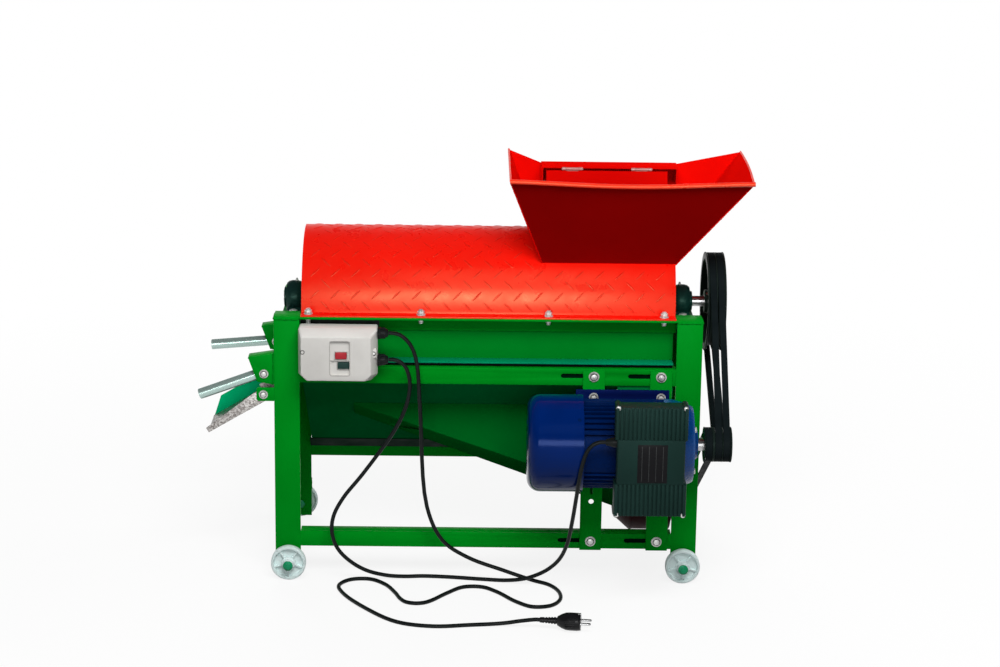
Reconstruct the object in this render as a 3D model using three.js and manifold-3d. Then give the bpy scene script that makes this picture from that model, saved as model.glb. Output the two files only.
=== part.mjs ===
import * as THREE from 'three';
import { mergeVertices } from 'three/addons/utils/BufferGeometryUtils.js';
import { ConvexGeometry } from 'three/addons/geometries/ConvexGeometry.js';
import Module from 'manifold-3d';

// A corn sheller on an angle-iron stand, in millimetres. X runs along the drum towards the
// pulleys, Y to the rear and Z up. It is drawn about the middle of the stand, and moved at the
// end so that its origin is on the floor under the middle of the whole machine.

// Stand
const standLength = 800;
const standDepth = 330;
const standHeight = 508;
const steelWall = 4;
const legFlange = 48;
const legFoot = 8;
const rearLegDrop = 18;
const railFlange = 30;
const midRailHeight = 32;
const midRailDrop = 94;
const midRailTop = standHeight - midRailDrop;
const lowRailTop = 89;
const rearRailRise = 77;
const rearRailTop = lowRailTop + rearRailRise;
const leftRailDrop = 84;
const leftRailTop = midRailTop - leftRailDrop;
const beamHeight = 16;
const beamWidth = 42;

// Wheels
const wheelRadius = 33;
const wheelWidth = 16;
const wheelInset = 26;
const wheelStandOff = 13;
const wheelRim = 5;
const wheelWeb = 3;
const wheelSpokeWidth = 3;
const wheelSpokeHeight = 5;
const wheelSpokes = 6;
const hubRadius = 11;
const hubLength = 38;
const axleRadius = 5;
const axleNutRadius = 9;
const axleNutHeight = 5;
const axleCapHeight = 6;
const wheelSides = 16;

// Drum, its shaft and bearings
const halfLength = standLength / 2;
const halfDepth = standDepth / 2;
const shaftDrop = 2;
const shaftHeight = standHeight - shaftDrop;
const shaftRadius = 10;
const shaftLeftSetback = 8;
const shaftLeft = halfLength - shaftLeftSetback;
const shaftOverhang = 50;
const shaftRight = halfLength + shaftOverhang;
const bearingHeight = 33;
const bearingOverall = 65;
const bearingWidth = 31;
const bearingBase = 127;
const bearingBaseHeight = 14;
const bearingSetback = 29;
const bearingHubReach = 5;
const bearingBoltSpacing = 95;
const bearingBoltRadius = 6;
const drumRadius = 55;
const drumWall = 4;
const drumSetback = 95;
const drumEnd = halfLength - drumSetback;
const pegRadius = 6;
const pegHeight = 44;
const pegRows = 4;
const pegsPerRow = 9;
const paddleThickness = 6;
const paddleLength = 42;

// Hood, end plates, side panels and sieve
const hoodRadius = 138;
const sheet = 3;
const hoodSetback = 50;
const hoodHalf = halfLength - hoodSetback;
const hoodFlangeSetback = 2;
const hoodFlange = halfDepth - hoodFlangeSetback;
const hoodFlangeHeight = 6;
const endPlateSet = 3;
const shaftHoleShare = 1.5;
const panelHeight = 87;
const panelLipHeight = standHeight - panelHeight;
const panelLipReach = 5;
const sieveRoom = 3;
const panelInner = halfDepth - railFlange - steelWall - sheet;
const sieveRadius = panelInner - sieveRoom;
const sieveSlotLength = 50;
const sieveSlotWidth = 13;
const sieveSlotColumns = 6;
const sieveSlotRows = 5;
const outletDrop = 51;
const outletHeight = 43;
const outletTop = shaftHeight - outletDrop;
const outletBottom = outletTop - outletHeight;
const outletNear = 76;
const outletFar = 30;

// Grain slide and air duct
const slideSetback = 156;
const slideEnd = halfLength - slideSetback;
const slideDropFront = 29;
const slideFrontZ = midRailTop - slideDropFront;
const slideLip = 10;
const ductRidge = 70;
const ductBack = 36;
const ductApexSetback = 144;
const ductApex = halfLength - ductApexSetback;
const ductBottomRise = 11;
const ductBottom = lowRailTop + ductBottomRise;
const ductBand = 38;
const ductSheet = 2;
const ductApexHeight = 6;

// Fan
const fanDepth = 30;
const fanRise = 53;
const fanHeight = lowRailTop + fanRise;
const fanRadius = 104;
const fanWidth = 80;
const fanSetback = 40;
const fanRight = halfLength - fanSetback;
const fanLeft = fanRight - fanWidth;
const fanCone = 30;
const fanConeRadius = 78;
const fanInlet = 46;
const fanShaftRadius = 8;
const fanShaftTail = 18;
const fanShaftLeft = fanLeft - fanShaftTail;
const fanShaftOverhang = 14;
const fanShaftRight = halfLength + fanShaftOverhang;
const fanBladeRoom = 16;
const fanBladeRadius = fanRadius - fanBladeRoom;
const fanHubRadius = 18;
const fanBlades = 5;
const fanPulleyRadius = 30;
const fanFlangeShare = 1.25;
const fanBearingRadius = 16;

// Hopper, its cover and flap
const hopperWidth = 250;
const hopperRight = hoodHalf;
const hopperLeft = hopperRight - hopperWidth;
const hopperDepth = 100;
const hopperRise = 92;
const hopperBase = standHeight + hopperRise;
const hopperHeight = 175;
const hopperRim = hopperBase + hopperHeight;
const hopperFlareLeft = 64;
const hopperFlareRight = 140;
const hopperFlareFront = 90;
const hopperFlareRear = 23;
const hopperRimLeft = hopperLeft - hopperFlareLeft;
const hopperRimRight = hopperRight + hopperFlareRight;
const hopperRimFront = hopperDepth + hopperFlareFront;
const hopperRimRear = hopperDepth + hopperFlareRear;
const hopperLip = 9;
const hopperDipDepth = 25;
const hopperDip = hopperRim - hopperDipDepth;
const coverReach = 12;
const coverRight = hopperRight + coverReach;
const coverFront = 62;
const coverThickness = 9;
const coverRearThickness = 3;
const cheekRise = 60;
const cheekBottom = hopperBase + cheekRise;
const flapLeftRoom = 9;
const flapRightRoom = 20;
const flapLeft = hopperLeft + flapLeftRoom;
const flapRight = coverRight - flapRightRoom;
const flapLength = 100;
const hingeRadius = 3;
const hingePin = 1.4;
const hingeLength = 40;
const hingeLug = 8;
const hingeInset = 30;

// Motor, its straps and terminal box
const motorStandOff = 93;
const motorDepth = halfDepth + motorStandOff;
const motorDrop = 116;
const motorHeight = midRailTop - motorDrop;
const motorRadius = 83;
const motorFinDepth = 7;
const motorFinRoot = motorRadius - motorFinDepth;
const motorFins = 20;
const finShares = [0.2, 0.5, 0.7];
const motorSetback = 12;
const motorLength = 218;
const motorRight = halfLength - motorSetback;
const motorLeft = motorRight - motorLength;
const motorShieldLength = 58;
const motorShield = motorRight - motorShieldLength;
const motorBore = 46;
const motorWall = 6;
const motorShaftRadius = 12;
const motorShaftOverhang = 47;
const motorShaftEnd = halfLength + motorShaftOverhang;
const motorCoverLength = 97;
const motorCoverLeft = motorLeft - motorCoverLength;
const motorShaftInset = 23;
const motorShaftStart = motorCoverLeft + motorShaftInset;
const motorCoverRadius = motorRadius + motorFinDepth;
const motorCoverRound = 24;
const motorCoverWall = 2;
const coverSteps = 4;
const ventShare = 0.4;
const motorCollar = 12;
const motorSpigot = 10;
const motorFanRoom = 16;
const motorFanRadius = motorCoverRadius - motorFanRoom;
const footOverlap = 5;
const footLeft = motorLeft - footOverlap;
const footRight = motorShield + footOverlap * 2;
const footReach = 78;
const footBottom = motorHeight - footReach;
const footTop = motorHeight + footReach;
const footThickness = 6;
const footRib = 12;
const strapWidth = 41;
const strapSetback = 75.5;
const strapSpacing = 126;
const strapSecond = halfLength - strapSetback;
const strapFirst = strapSecond - strapSpacing;
const strapHang = 32;
const strapBottom = lowRailTop - strapHang;
const strapTopRoom = 2;
const strapTop = midRailTop - strapTopRoom;
const slotDrop = 14;
const strapBoltTop = midRailTop - slotDrop;
const strapBoltBottom = lowRailTop - slotDrop;
const boltRadius = 4;
const boltHead = 10;
const boltHeadHeight = 5;
const boltNutHeight = 6;
const nutShare = 0.8;
const footBoltReach = 64;
const footBoltTop = motorHeight + footBoltReach;
const footBoltBottom = motorHeight - footBoltReach;
const footBoltHead = 7.5;
const slotLength = 80;
const slotOvershoot = 18;
const slotHeight = 9;
const strapHoleRise = 65;
const strapHoleHeight = lowRailTop + strapHoleRise;
const strapHoleRadius = 5;
const boxWidth = 131;
const boxOverhang = 30;
const boxRight = motorShield + boxOverhang;
const boxLeft = boxRight - boxWidth;
const boxReachDown = 100;
const boxReachUp = 105;
const boxBottom = motorHeight - boxReachDown;
const boxTop = motorHeight + boxReachUp;
const boxStandOff = 84;
const boxDepth = 40;
const boxBack = motorDepth + boxStandOff;
const boxFront = boxBack + boxDepth;
const boxRibCount = 11;
const boxRibDepth = 4;
const boxRibLength = 61;
const boxPadMargin = 8;
const boxScrewRadius = 5;
const boxWall = 9;
const boxGrooveShare = 0.2;
const boxGlandShare = 0.8;
const boxGlandRise = 34;
const boxGlandHeight = motorHeight + boxGlandRise;
const boxGlandInset = 18;
const boxGlandDepth = boxBack + boxGlandInset;

// Pulleys and belts
const pulleyOut = 15;
const pulleyWidth = 35;
const pulleyLeft = halfLength + pulleyOut;
const pulleyRight = pulleyLeft + pulleyWidth;
const drumPulleyRadius = 95;
const motorPulleyRadius = 33;
const beltPitch = 15;
const beltTop = 12;
const beltBottom = 7;
const beltHeight = 8;
const beltRoom = 0.6;
const grooveFloor = 2;
const pulleyHubRadius = 22;
const pulleyWeb = 10;
const pulleyRim = 14;
const fanBeltOut = 7.5;
const fanBeltPlane = halfLength + fanBeltOut;
const pulleySides = 24;

// Switch box
const switchWidth = 147;
const switchLeft = halfLength - legFlange;
const switchRight = switchLeft - switchWidth;
const switchTopRoom = 11;
const switchTop = standHeight - switchTopRoom;
const switchOverlap = 16;
const switchBottom = midRailTop - switchOverlap;
const switchDepth = 55;
const switchChamfer = 12;
const switchChamferDepth = 25;
const switchWall = 3;
const windowInset = 60;
const windowWidth = 36;
const windowLeft = switchLeft - windowInset;
const windowRight = windowLeft - windowWidth;
const windowRise = 14;
const windowTopDrop = 20;
const windowBottom = switchBottom + windowRise;
const windowTop = switchTop - windowTopDrop;
const windowDepth = 5;
const buttonWidth = 21;
const buttonHeight = 12.5;
const buttonProud = 4;
const buttonLength = 16;
const buttonTravel = 3.5;
const stopButtonInset = 20;
const stopButtonRise = 37;
const startButtonInset = 24.5;
const startButtonRise = 18.5;
const stopButtonX = -windowLeft + stopButtonInset;
const stopButtonZ = windowBottom + stopButtonRise;
const startButtonX = -windowLeft + startButtonInset;
const startButtonZ = windowBottom + startButtonRise;
const glandRadius = 10;
const glandLength = 20;
const glandNutRadius = 12;
const glandNutLength = 8;
const mainsGlandDrop = 9.5;
const motorGlandDrop = 60.4;
const mainsGlandHeight = switchTop - mainsGlandDrop;
const motorGlandHeight = switchTop - motorGlandDrop;
const glandStandOff = 30;
const glandPlane = halfDepth + glandStandOff;

// Handles and chute
const handleRadius = 10;
const handleWall = 2;
const handleLength = 130;
const handleTail = 11;
const handleSetback = 12;
const handleDepth = halfDepth - handleSetback;
const handleOut = 18.7;
const handlePivotDrop = 15;
const handlePivot = midRailTop - handlePivotDrop;
const handleDrop = 20;
const frontHandleTilt = 20.2;
const rearHandleTilt = 5;
const bracketTop = 39;
const bracketBottom = 21;
const bracketReach = 48;
const bracketGap = 12;
const bracketPlate = 3;
const bracketTopShare = 0.8;
const bracketWaistShare = 0.65;
const bracketFootShare = 0.75;
const chutePivotOut = 20;
const chutePivotRise = 28;
const chutePivotHeight = leftRailTop + chutePivotRise;
const chuteTilt = 30.5;
const chuteNearSetback = 6;
const chuteWidth = 109;
const chuteNear = halfDepth - chuteNearSetback;
const chuteFar = chuteNear - chuteWidth;
const chuteReach = 129;
const chuteTail = 66;
const chuteNotch = 8;
const chuteFloor = 14;
const chuteSheet = 2;
const chuteNearTop = 10;
const chuteNearTip = 4;
const chuteNearShare = 0.125;
const chuteFarTop = 15;
const chuteFarShare = 0.75;
const rodRadius = 4;
const rodHead = 7.5;
const rodHeadHeight = 5;
const tabReach = 33;
const tabHeight = 26;
const lugThickness = 4;

// Cords
const cordRadius = 3.75;
const cordFloor = 4.1;
const cordSides = 8;
const mainsSteps = 78;
const motorCableSteps = 52;
const plugAxis = 17;
const plugRadius = 17;
const plugHead = 40;
const plugNeck = 34;
const plugNeckRadius = 9;
const plugPinRadius = 2.4;
const plugPinLength = 19;
const plugPinSpacing = 19;
const plugFlangeShare = 0.6;
const plugBodyShare = 0.94;
const plugShoulderShare = 0.2;

// Clearances
const gap = 0.3;
const boreGap = 0.4;
const overrun = 20;

const fullTurn = 360;
const halfTurn = 180;
const roundSides = 16;
const smallSides = 8;
const weldTolerance = 0.0001;

const wasm = await Module();
wasm.setup();

// Turns a closed geometry into a solid whose faces point out
function toSolid(geometry) {
  const bare = new THREE.BufferGeometry();
  bare.setAttribute('position', geometry.getAttribute('position').clone());
  if (geometry.index) bare.setIndex(geometry.index.clone());
  const welded = mergeVertices(bare, weldTolerance);
  const points = welded.getAttribute('position');
  const corners = [0, 1, 2].map(() => new THREE.Vector3());
  const triangles = [];
  let volume = 0;
  for (let i = 0; i < welded.index.count; i += 3) {
    const face = [0, 1, 2].map((k) => welded.index.getX(i + k));
    if (new Set(face).size < 3) continue;
    face.forEach((vertex, k) => corners[k].fromBufferAttribute(points, vertex));
    volume += corners[0].dot(corners[1].clone().cross(corners[2]));
    triangles.push(face);
  }
  const outward = volume < 0 ? triangles.map(([a, b, c]) => [a, c, b]) : triangles;
  return new wasm.Manifold(new wasm.Mesh({
    numProp: 3,
    vertProperties: new Float32Array(points.array),
    triVerts: new Uint32Array(outward.flat()),
  }));
}

function join(...solids) {
  return solids.flat().reduce((whole, solid) => whole.add(solid));
}

function cut(solid, ...tools) {
  return tools.flat().reduce((rest, tool) => rest.subtract(tool), solid);
}

const sorted = (a, b) => (a < b ? [a, b] : [b, a]);

// A block between two values along each axis, in either order
function block(x0, x1, y0, y1, z0, z1) {
  const [left, right] = sorted(x0, x1);
  const [front, rear] = sorted(y0, y1);
  const [low, high] = sorted(z0, z1);
  const geometry = new THREE.BoxGeometry(right - left, rear - front, high - low);
  geometry.translate((left + right) / 2, (front + rear) / 2, (low + high) / 2);
  return toSolid(geometry);
}

// An outline drawn in the plane across an axis: (y, z) for x, (x, z) for y and (x, y) for z
function prism(outline, axis, from, to) {
  const [low, high] = sorted(from, to);
  const points = outline.map(([u, v]) => (axis === 'y' ? new THREE.Vector2(v, u) : new THREE.Vector2(u,
    v)));
  const geometry = new THREE.ExtrudeGeometry(new THREE.Shape(points), {
    depth: high - low,
    bevelEnabled: false,
  });
  geometry.translate(0, 0, low);
  const [x, y, z] = [new THREE.Vector3(1, 0, 0), new THREE.Vector3(0, 1, 0), new THREE.Vector3(0, 0, 1)];
  const bases = { x: [y, z, x], y: [z, x, y], z: [x, y, z] };
  geometry.applyMatrix4(new THREE.Matrix4().makeBasis(...bases[axis]));
  return toSolid(geometry);
}

// Points of a circle or of part of one, in degrees
function arc(u, v, radius, start, end, steps) {
  return Array.from({ length: steps + 1 }, (_, i) => {
    const angle = THREE.MathUtils.degToRad(start + ((end - start) * i) / steps);
    return [u + radius * Math.cos(angle), v + radius * Math.sin(angle)];
  });
}

function circle(u, v, radius, sides = roundSides, turn = 0) {
  return arc(u, v, radius, turn, fullTurn + turn, sides).slice(0, -1);
}

function rod(axis, u, v, radius, from, to, sides = roundSides) {
  return prism(circle(u, v, radius, sides), axis, from, to);
}

// Half-width of a polygon's corner circle whose flats clear a radius
const clearing = (radius, room, sides = roundSides) => (radius + room) / Math.cos(Math.PI / sides);

// A profile of [radius, place] turned about an axis through (u, v)
function turned(profile, axis, u, v, sides = roundSides, turn = 0) {
  const geometry = new THREE.LatheGeometry(
    profile.map(([radius, place]) => new THREE.Vector2(radius, place)),
    sides,
    turn,
  );
  if (axis === 'x') geometry.rotateZ(-Math.PI / 2).translate(0, u, v);
  if (axis === 'y') geometry.translate(u, 0, v);
  return toSolid(geometry);
}

function hull(points) {
  return toSolid(new ConvexGeometry(points.map((point) => new THREE.Vector3(...point))));
}

const sheller = new THREE.Group();
const machine = new THREE.Group();
const cords = new THREE.Group();
sheller.add(machine, cords);

const finish = (color, roughness, metalness) => ({ color, roughness, metalness });
const greenPaint = finish(0x0a8a2c, 0.45, 0.1);
const redPaint = finish(0xe0281c, 0.4, 0.1);
const maroonPaint = finish(0x6a1a1c, 0.5, 0.1);
const bluePaint = finish(0x12307a, 0.4, 0.2);
const darkPaint = finish(0x1d2b27, 0.45, 0.3);
const boxPaint = finish(0x3c5a55, 0.5, 0.1);
const steel = finish(0xb9bcc0, 0.35, 0.9);
const galvanised = finish(0xa9afb0, 0.45, 0.8);
const chrome = finish(0xd6d8da, 0.15, 1);
const rubber = finish(0x17181a, 0.8, 0);
const paleBox = finish(0xd4cac4, 0.45, 0);
const wheelPlastic = finish(0xdfeeea, 0.3, 0);
const stopRed = finish(0xb83038, 0.4, 0);
const startGreen = finish(0x123f36, 0.4, 0);

// Adds a solid to a group as one named mesh
function add(name, paint, solid, group = machine) {
  const { vertProperties, triVerts } = solid.getMesh();
  const geometry = new THREE.BufferGeometry();
  geometry.setAttribute('position', new THREE.BufferAttribute(vertProperties, 3));
  geometry.setIndex(new THREE.BufferAttribute(triVerts, 1));
  geometry.computeVertexNormals();
  const mesh = new THREE.Mesh(geometry, new THREE.MeshStandardMaterial(paint));
  mesh.name = name;
  group.add(mesh);
  return mesh;
}

const legInner = halfLength - legFlange;
const axleX = halfLength - wheelInset;
const sides = [['left', -1], ['right', 1]];
const faces = [['front', -1], ['rear', 1]];

// Wheels and the axle bolts that carry them
const wheelCentre = halfDepth + wheelStandOff + wheelWidth / 2;
const washerEnd = halfDepth + wheelStandOff / 4;
const hubStart = washerEnd + gap;
const hubEnd = hubStart + hubLength;

function axleBolt(side, face) {
  const x = side * axleX;
  return join(
    rod('y', x, wheelRadius, axleRadius, face * (halfDepth - steelWall),
      face * (hubEnd + gap + axleCapHeight)),
    rod('y', x, wheelRadius, axleNutRadius, face * (halfDepth - steelWall),
      face * (halfDepth - steelWall - axleNutHeight),
      smallSides),
    rod('y', x, wheelRadius, axleNutRadius, face * halfDepth, face * washerEnd, smallSides),
    rod('y', x, wheelRadius, axleNutRadius, face * (hubEnd + gap), face * (hubEnd + gap + axleCapHeight),
      smallSides),
  );
}

function wheel(side, face) {
  const outer = clearing(wheelRadius, 0, wheelSides);
  const bore = clearing(axleRadius, boreGap, wheelSides);
  const near = wheelCentre - wheelWidth / 2;
  const far = wheelCentre + wheelWidth / 2;
  const middle = (near + far) / 2;
  const profile = [
    [bore, hubStart],
    [hubRadius, hubStart],
    [hubRadius, middle - wheelWeb / 2],
    [outer - wheelRim, middle - wheelWeb / 2],
    [outer - wheelRim, near],
    [outer, near],
    [outer, far],
    [outer - wheelRim, far],
    [outer - wheelRim, middle + wheelWeb / 2],
    [hubRadius, middle + wheelWeb / 2],
    [hubRadius, hubEnd],
    [bore, hubEnd],
    [bore, hubStart],
  ].map(([radius, place]) => [radius, face * place]);
  const body = turned(profile, 'y', side * axleX, wheelRadius, wheelSides, Math.PI / wheelSides);
  const spokes = Array.from({ length: wheelSpokes }, (_, i) => {
    const angle = (i * Math.PI * 2) / wheelSpokes;
    const [along, across] = [[Math.cos(angle), Math.sin(angle)], [-Math.sin(angle), Math.cos(angle)]];
    const start = (bore + hubRadius) / 2;
    const end = outer - wheelRim / 2;
    const outline = [[start, -1], [end, -1], [end, 1], [start, 1]].map(([reach, half]) => [
      side * axleX + along[0] * reach + (across[0] * half * wheelSpokeWidth) / 2,
      wheelRadius + along[1] * reach + (across[1] * half * wheelSpokeWidth) / 2,
    ]);
    return prism(outline, 'y', face * middle, face * (middle + wheelSpokeHeight));
  });
  return join(body, spokes);
}

// Legs, with the chute's tab on the front left one
const chutePivotX = -(halfLength + chutePivotOut);

function leg(side, face) {
  const top = face < 0 ? standHeight : standHeight - rearLegDrop;
  const pieces = [
    block(side * halfLength, side * legInner, face * halfDepth, face * (halfDepth - steelWall), legFoot, top),
    block(side * halfLength, side * (halfLength - steelWall), face * halfDepth,
      face * (halfDepth - legFlange), legFoot, top),
    block(side * halfLength, side * legInner, face * halfDepth, face * (halfDepth - legFlange),
      top - steelWall, top),
    axleBolt(side, face),
  ];
  if (side > 0 || face > 0) return join(pieces);
  const tab = block(
    -halfLength,
    -halfLength - tabReach,
    -halfDepth,
    -halfDepth + steelWall,
    chutePivotHeight - tabHeight / 2,
    chutePivotHeight + tabHeight / 2,
  );
  const hole = rod('y', chutePivotX, chutePivotHeight, clearing(rodRadius, boreGap, smallSides),
    -halfDepth - overrun,
    -halfDepth + overrun, smallSides);
  return cut(join(pieces, tab), hole);
}

for (const [sideName, side] of sides) {
  for (const [faceName, face] of faces) {
    add(`leg_${faceName}_${sideName}`, greenPaint, leg(side, face));
    add(`wheel_${faceName}_${sideName}`, wheelPlastic, wheel(side, face));
  }
}

// Rails along the stand; the front ones are slotted for the motor's straps
function rail(face, top, height) {
  return join(
    block(-legInner, legInner, face * halfDepth, face * (halfDepth - steelWall), top - height, top),
    block(-legInner, legInner, face * halfDepth, face * (halfDepth - railFlange), top - steelWall, top),
  );
}

function topRail(face) {
  const inner = halfDepth - railFlange;
  return join(
    block(-legInner, legInner, face * halfDepth, face * inner, standHeight - steelWall, standHeight),
    block(-legInner, legInner, face * inner, face * (inner - steelWall), standHeight - railFlange,
      standHeight),
  );
}

const strapCentres = [strapFirst, strapSecond];

function slots(height) {
  return strapCentres.map((x) => block(
    x + slotOvershoot - slotLength,
    x + slotOvershoot,
    -halfDepth - overrun,
    -halfDepth + steelWall + overrun / 2,
    height - slotHeight / 2,
    height + slotHeight / 2,
  ));
}

add('top_rail_front', greenPaint, topRail(-1));
add('top_rail_rear', greenPaint, topRail(1));
add('mid_rail_front', greenPaint, cut(rail(-1, midRailTop, midRailHeight), slots(strapBoltTop)));
add('mid_rail_rear', greenPaint, rail(1, midRailTop, midRailHeight));
add('lower_rail_front', greenPaint, cut(rail(-1, lowRailTop, railFlange), slots(strapBoltBottom)));
add('lower_rail_rear', greenPaint, rail(1, rearRailTop, railFlange));

// Rails across the ends, between the legs' side flanges
const crossReach = halfDepth - legFlange;

function crossRail(side, top) {
  return join(
    block(side * halfLength, side * (halfLength - steelWall), -crossReach, crossReach, top - railFlange,
      top),
    block(side * halfLength, side * (halfLength - railFlange), -crossReach, crossReach, top - steelWall,
      top),
  );
}

// The lug on the left rail holds the far end of the chute's rod
const lugFront = chuteFar - chuteSheet * 2;

function leftCrossRail() {
  const lug = block(
    -halfLength + steelWall,
    chutePivotX - tabHeight / 2,
    -lugFront,
    -lugFront + lugThickness,
    leftRailTop - steelWall,
    chutePivotHeight + tabHeight / 2,
  );
  const hole = rod('y', chutePivotX, chutePivotHeight, clearing(rodRadius, boreGap, smallSides),
    -lugFront - overrun / 4,
    -lugFront + overrun, smallSides);
  return cut(join(crossRail(-1, leftRailTop), lug), hole);
}

add('cross_rail_left', greenPaint, leftCrossRail());
add('cross_rail_right', greenPaint, crossRail(1, midRailTop));
add('lower_cross_rail_left', greenPaint, crossRail(-1, lowRailTop));
add('lower_cross_rail_right', greenPaint, crossRail(1, lowRailTop));

// Channels across the ends under the bearings
const beamTop = shaftHeight - bearingHeight;

function bearingBeam(side) {
  const outer = halfLength - steelWall;
  const reach = halfDepth - steelWall;
  return join(
    block(side * outer, side * (outer - beamWidth), -reach, reach, beamTop - steelWall, beamTop),
    block(side * outer, side * (outer - steelWall), -reach, reach, beamTop - beamHeight, beamTop),
    block(side * (outer - beamWidth), side * (outer - beamWidth + steelWall), -reach, reach,
      beamTop - beamHeight, beamTop),
  );
}

// Pillow-block bearings with their two bolts
function bearing(side) {
  const centre = side * (halfLength - bearingSetback);
  const [low, high] = [centre - bearingWidth / 2, centre + bearingWidth / 2];
  const housingRadius = bearingOverall - bearingHeight;
  const housing = join(
    block(low, high, -bearingBase / 2, bearingBase / 2, beamTop, beamTop + bearingBaseHeight),
    rod('x', 0, shaftHeight, housingRadius, low, high),
    block(low, high, -housingRadius, housingRadius, beamTop, shaftHeight),
    rod('x', 0, shaftHeight, housingRadius / 2, low - bearingHubReach, high + bearingHubReach),
  );
  const bolts = [-1, 1].map((face) => rod('z', centre, (face * bearingBoltSpacing) / 2, bearingBoltRadius,
    beamTop,
    beamTop + bearingBaseHeight + bearingBoltRadius, smallSides));
  const bore = rod('x', 0, shaftHeight, clearing(shaftRadius, boreGap), -standLength, standLength);
  return cut(join(housing, bolts), bore);
}

for (const [sideName, side] of sides) {
  add(`bearing_beam_${sideName}`, greenPaint, bearingBeam(side));
  add(`bearing_${sideName}`, darkPaint, bearing(side));
}

// Drum with its pegs and outlet paddles, turning with the shaft
function drum() {
  const half = drumEnd;
  const inner = drumRadius - drumWall;
  const bore = clearing(shaftRadius, gap);
  const shell = turned([
    [bore, -half],
    [drumRadius, -half],
    [drumRadius, half],
    [bore, half],
    [bore, half - drumWall],
    [inner, half - drumWall],
    [inner, -half + drumWall],
    [bore, -half + drumWall],
    [bore, -half],
  ], 'x', 0, shaftHeight);
  const pegs = [];
  const pegSpace = (half * 2 - paddleLength * 2) / pegsPerRow;
  for (let row = 0; row < pegRows; row += 1) {
    const turn = (row * fullTurn) / pegRows;
    for (let i = 0; i < pegsPerRow; i += 1) {
      const x = -half + paddleLength + pegSpace * (i + (row % 2 ? 1 : 0.5));
      const peg = prism(circle(x, 0, pegRadius, smallSides / 2), 'z', inner + drumWall / 2,
        drumRadius + pegHeight);
      pegs.push(peg.rotate([turn, 0, 0]).translate([0, 0, shaftHeight]));
    }
  }
  const paddles = Array.from({ length: pegRows }, (_, i) => block(
    -half,
    -half + paddleLength,
    -paddleThickness / 2,
    paddleThickness / 2,
    inner + drumWall / 2,
    drumRadius + pegHeight,
  ).rotate([(i * fullTurn) / pegRows, 0, 0]).translate([0, 0, shaftHeight]));
  return join(shell, pegs, paddles);
}

add('drum_shaft', steel, rod('x', 0, shaftHeight, shaftRadius, -shaftLeft, shaftRight));
add('drum', steel, drum());

// Hood: a half cylinder with a flange along each side and a cut-out under the hopper
const hoodInner = hoodRadius - sheet;
const flangeTop = standHeight + hoodFlangeHeight;
const flangeAngle = THREE.MathUtils.radToDeg(Math.asin(hoodFlangeHeight / hoodRadius));

function feedCutOut(room) {
  return block(
    hopperLeft + sheet + room,
    hoodHalf + overrun,
    -hopperDepth + sheet + room,
    hopperDepth - sheet - room,
    standHeight + hoodFlangeHeight * 2,
    hopperRim,
  );
}

function hood() {
  const outline = [
    [hoodFlange, standHeight],
    [hoodFlange, flangeTop],
    ...arc(0, standHeight, hoodRadius, flangeAngle, halfTurn - flangeAngle, roundSides),
    [-hoodFlange, flangeTop],
    [-hoodFlange, standHeight],
    ...arc(0, standHeight, hoodInner, halfTurn, 0, roundSides),
  ];
  return cut(prism(outline, 'x', -hoodHalf, hoodHalf), feedCutOut(0));
}

add('hood', redPaint, hood());

// End plates: the left one lets the cobs out, the right one is cut flat under the hopper
const plateOuter = hoodHalf - endPlateSet;

function endPlate(side) {
  const outline = [
    ...arc(0, standHeight, hoodInner - gap, 0, halfTurn, roundSides),
    ...arc(0, standHeight, panelInner, halfTurn, fullTurn, roundSides),
  ];
  const plate = prism(outline, 'x', side * (plateOuter - sheet), side * plateOuter);
  const shaftHole = rod('x', 0, shaftHeight, shaftRadius * shaftHoleShare, -standLength, standLength);
  if (side < 0) {
    const outlet = block(-plateOuter - overrun, -plateOuter + overrun, -outletNear, -outletFar,
      outletBottom, outletTop);
    return cut(plate, shaftHole, outlet);
  }
  const top = block(plateOuter - overrun, plateOuter + overrun, -hopperDepth, hopperDepth,
    hopperBase - gap, hopperRim);
  return cut(plate, shaftHole, top);
}

add('end_plate_left', greenPaint, endPlate(-1));
add('end_plate_right', greenPaint, endPlate(1));

// Side panels inside the top rails, each with a lip along its bottom
function sidePanel(face) {
  const outer = panelInner + sheet;
  return join(
    block(-plateOuter, plateOuter, face * panelInner, face * outer, panelLipHeight, standHeight),
    block(-plateOuter, plateOuter, face * outer, face * (halfDepth - panelLipReach), panelLipHeight,
      panelLipHeight + sheet),
  );
}

add('side_panel_front', greenPaint, sidePanel(-1));
add('side_panel_rear', greenPaint, sidePanel(1));

// Sieve: half a tube under the drum with slots for the grain, closed over the fan
const sieveInner = sieveRadius - sheet;

function sieve() {
  const end = plateOuter - sheet;
  const outline = [
    ...arc(0, shaftHeight, sieveRadius, halfTurn, fullTurn, roundSides),
    ...arc(0, shaftHeight, sieveInner, fullTurn, halfTurn, roundSides),
  ];
  const columnSpace = (slideEnd + end - sieveSlotLength) / sieveSlotColumns;
  const slotTools = [];
  for (let column = 0; column < sieveSlotColumns; column += 1) {
    const x = -end + sieveSlotLength / 2 + columnSpace * (column + 0.5);
    for (let row = 0; row < sieveSlotRows; row += 1) {
      const turn = halfTurn * ((row + 1) / (sieveSlotRows + 1) - 0.5);
      const slot = block(
        x - sieveSlotLength / 2,
        x + sieveSlotLength / 2,
        -sieveSlotWidth / 2,
        sieveSlotWidth / 2,
        -sieveRadius - overrun,
        -sieveInner + overrun,
      );
      slotTools.push(slot.rotate([turn, 0, 0]).translate([0, 0, shaftHeight]));
    }
  }
  return cut(prism(outline, 'x', -end, end), join(slotTools));
}

add('concave_sieve', steel, sieve());

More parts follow.
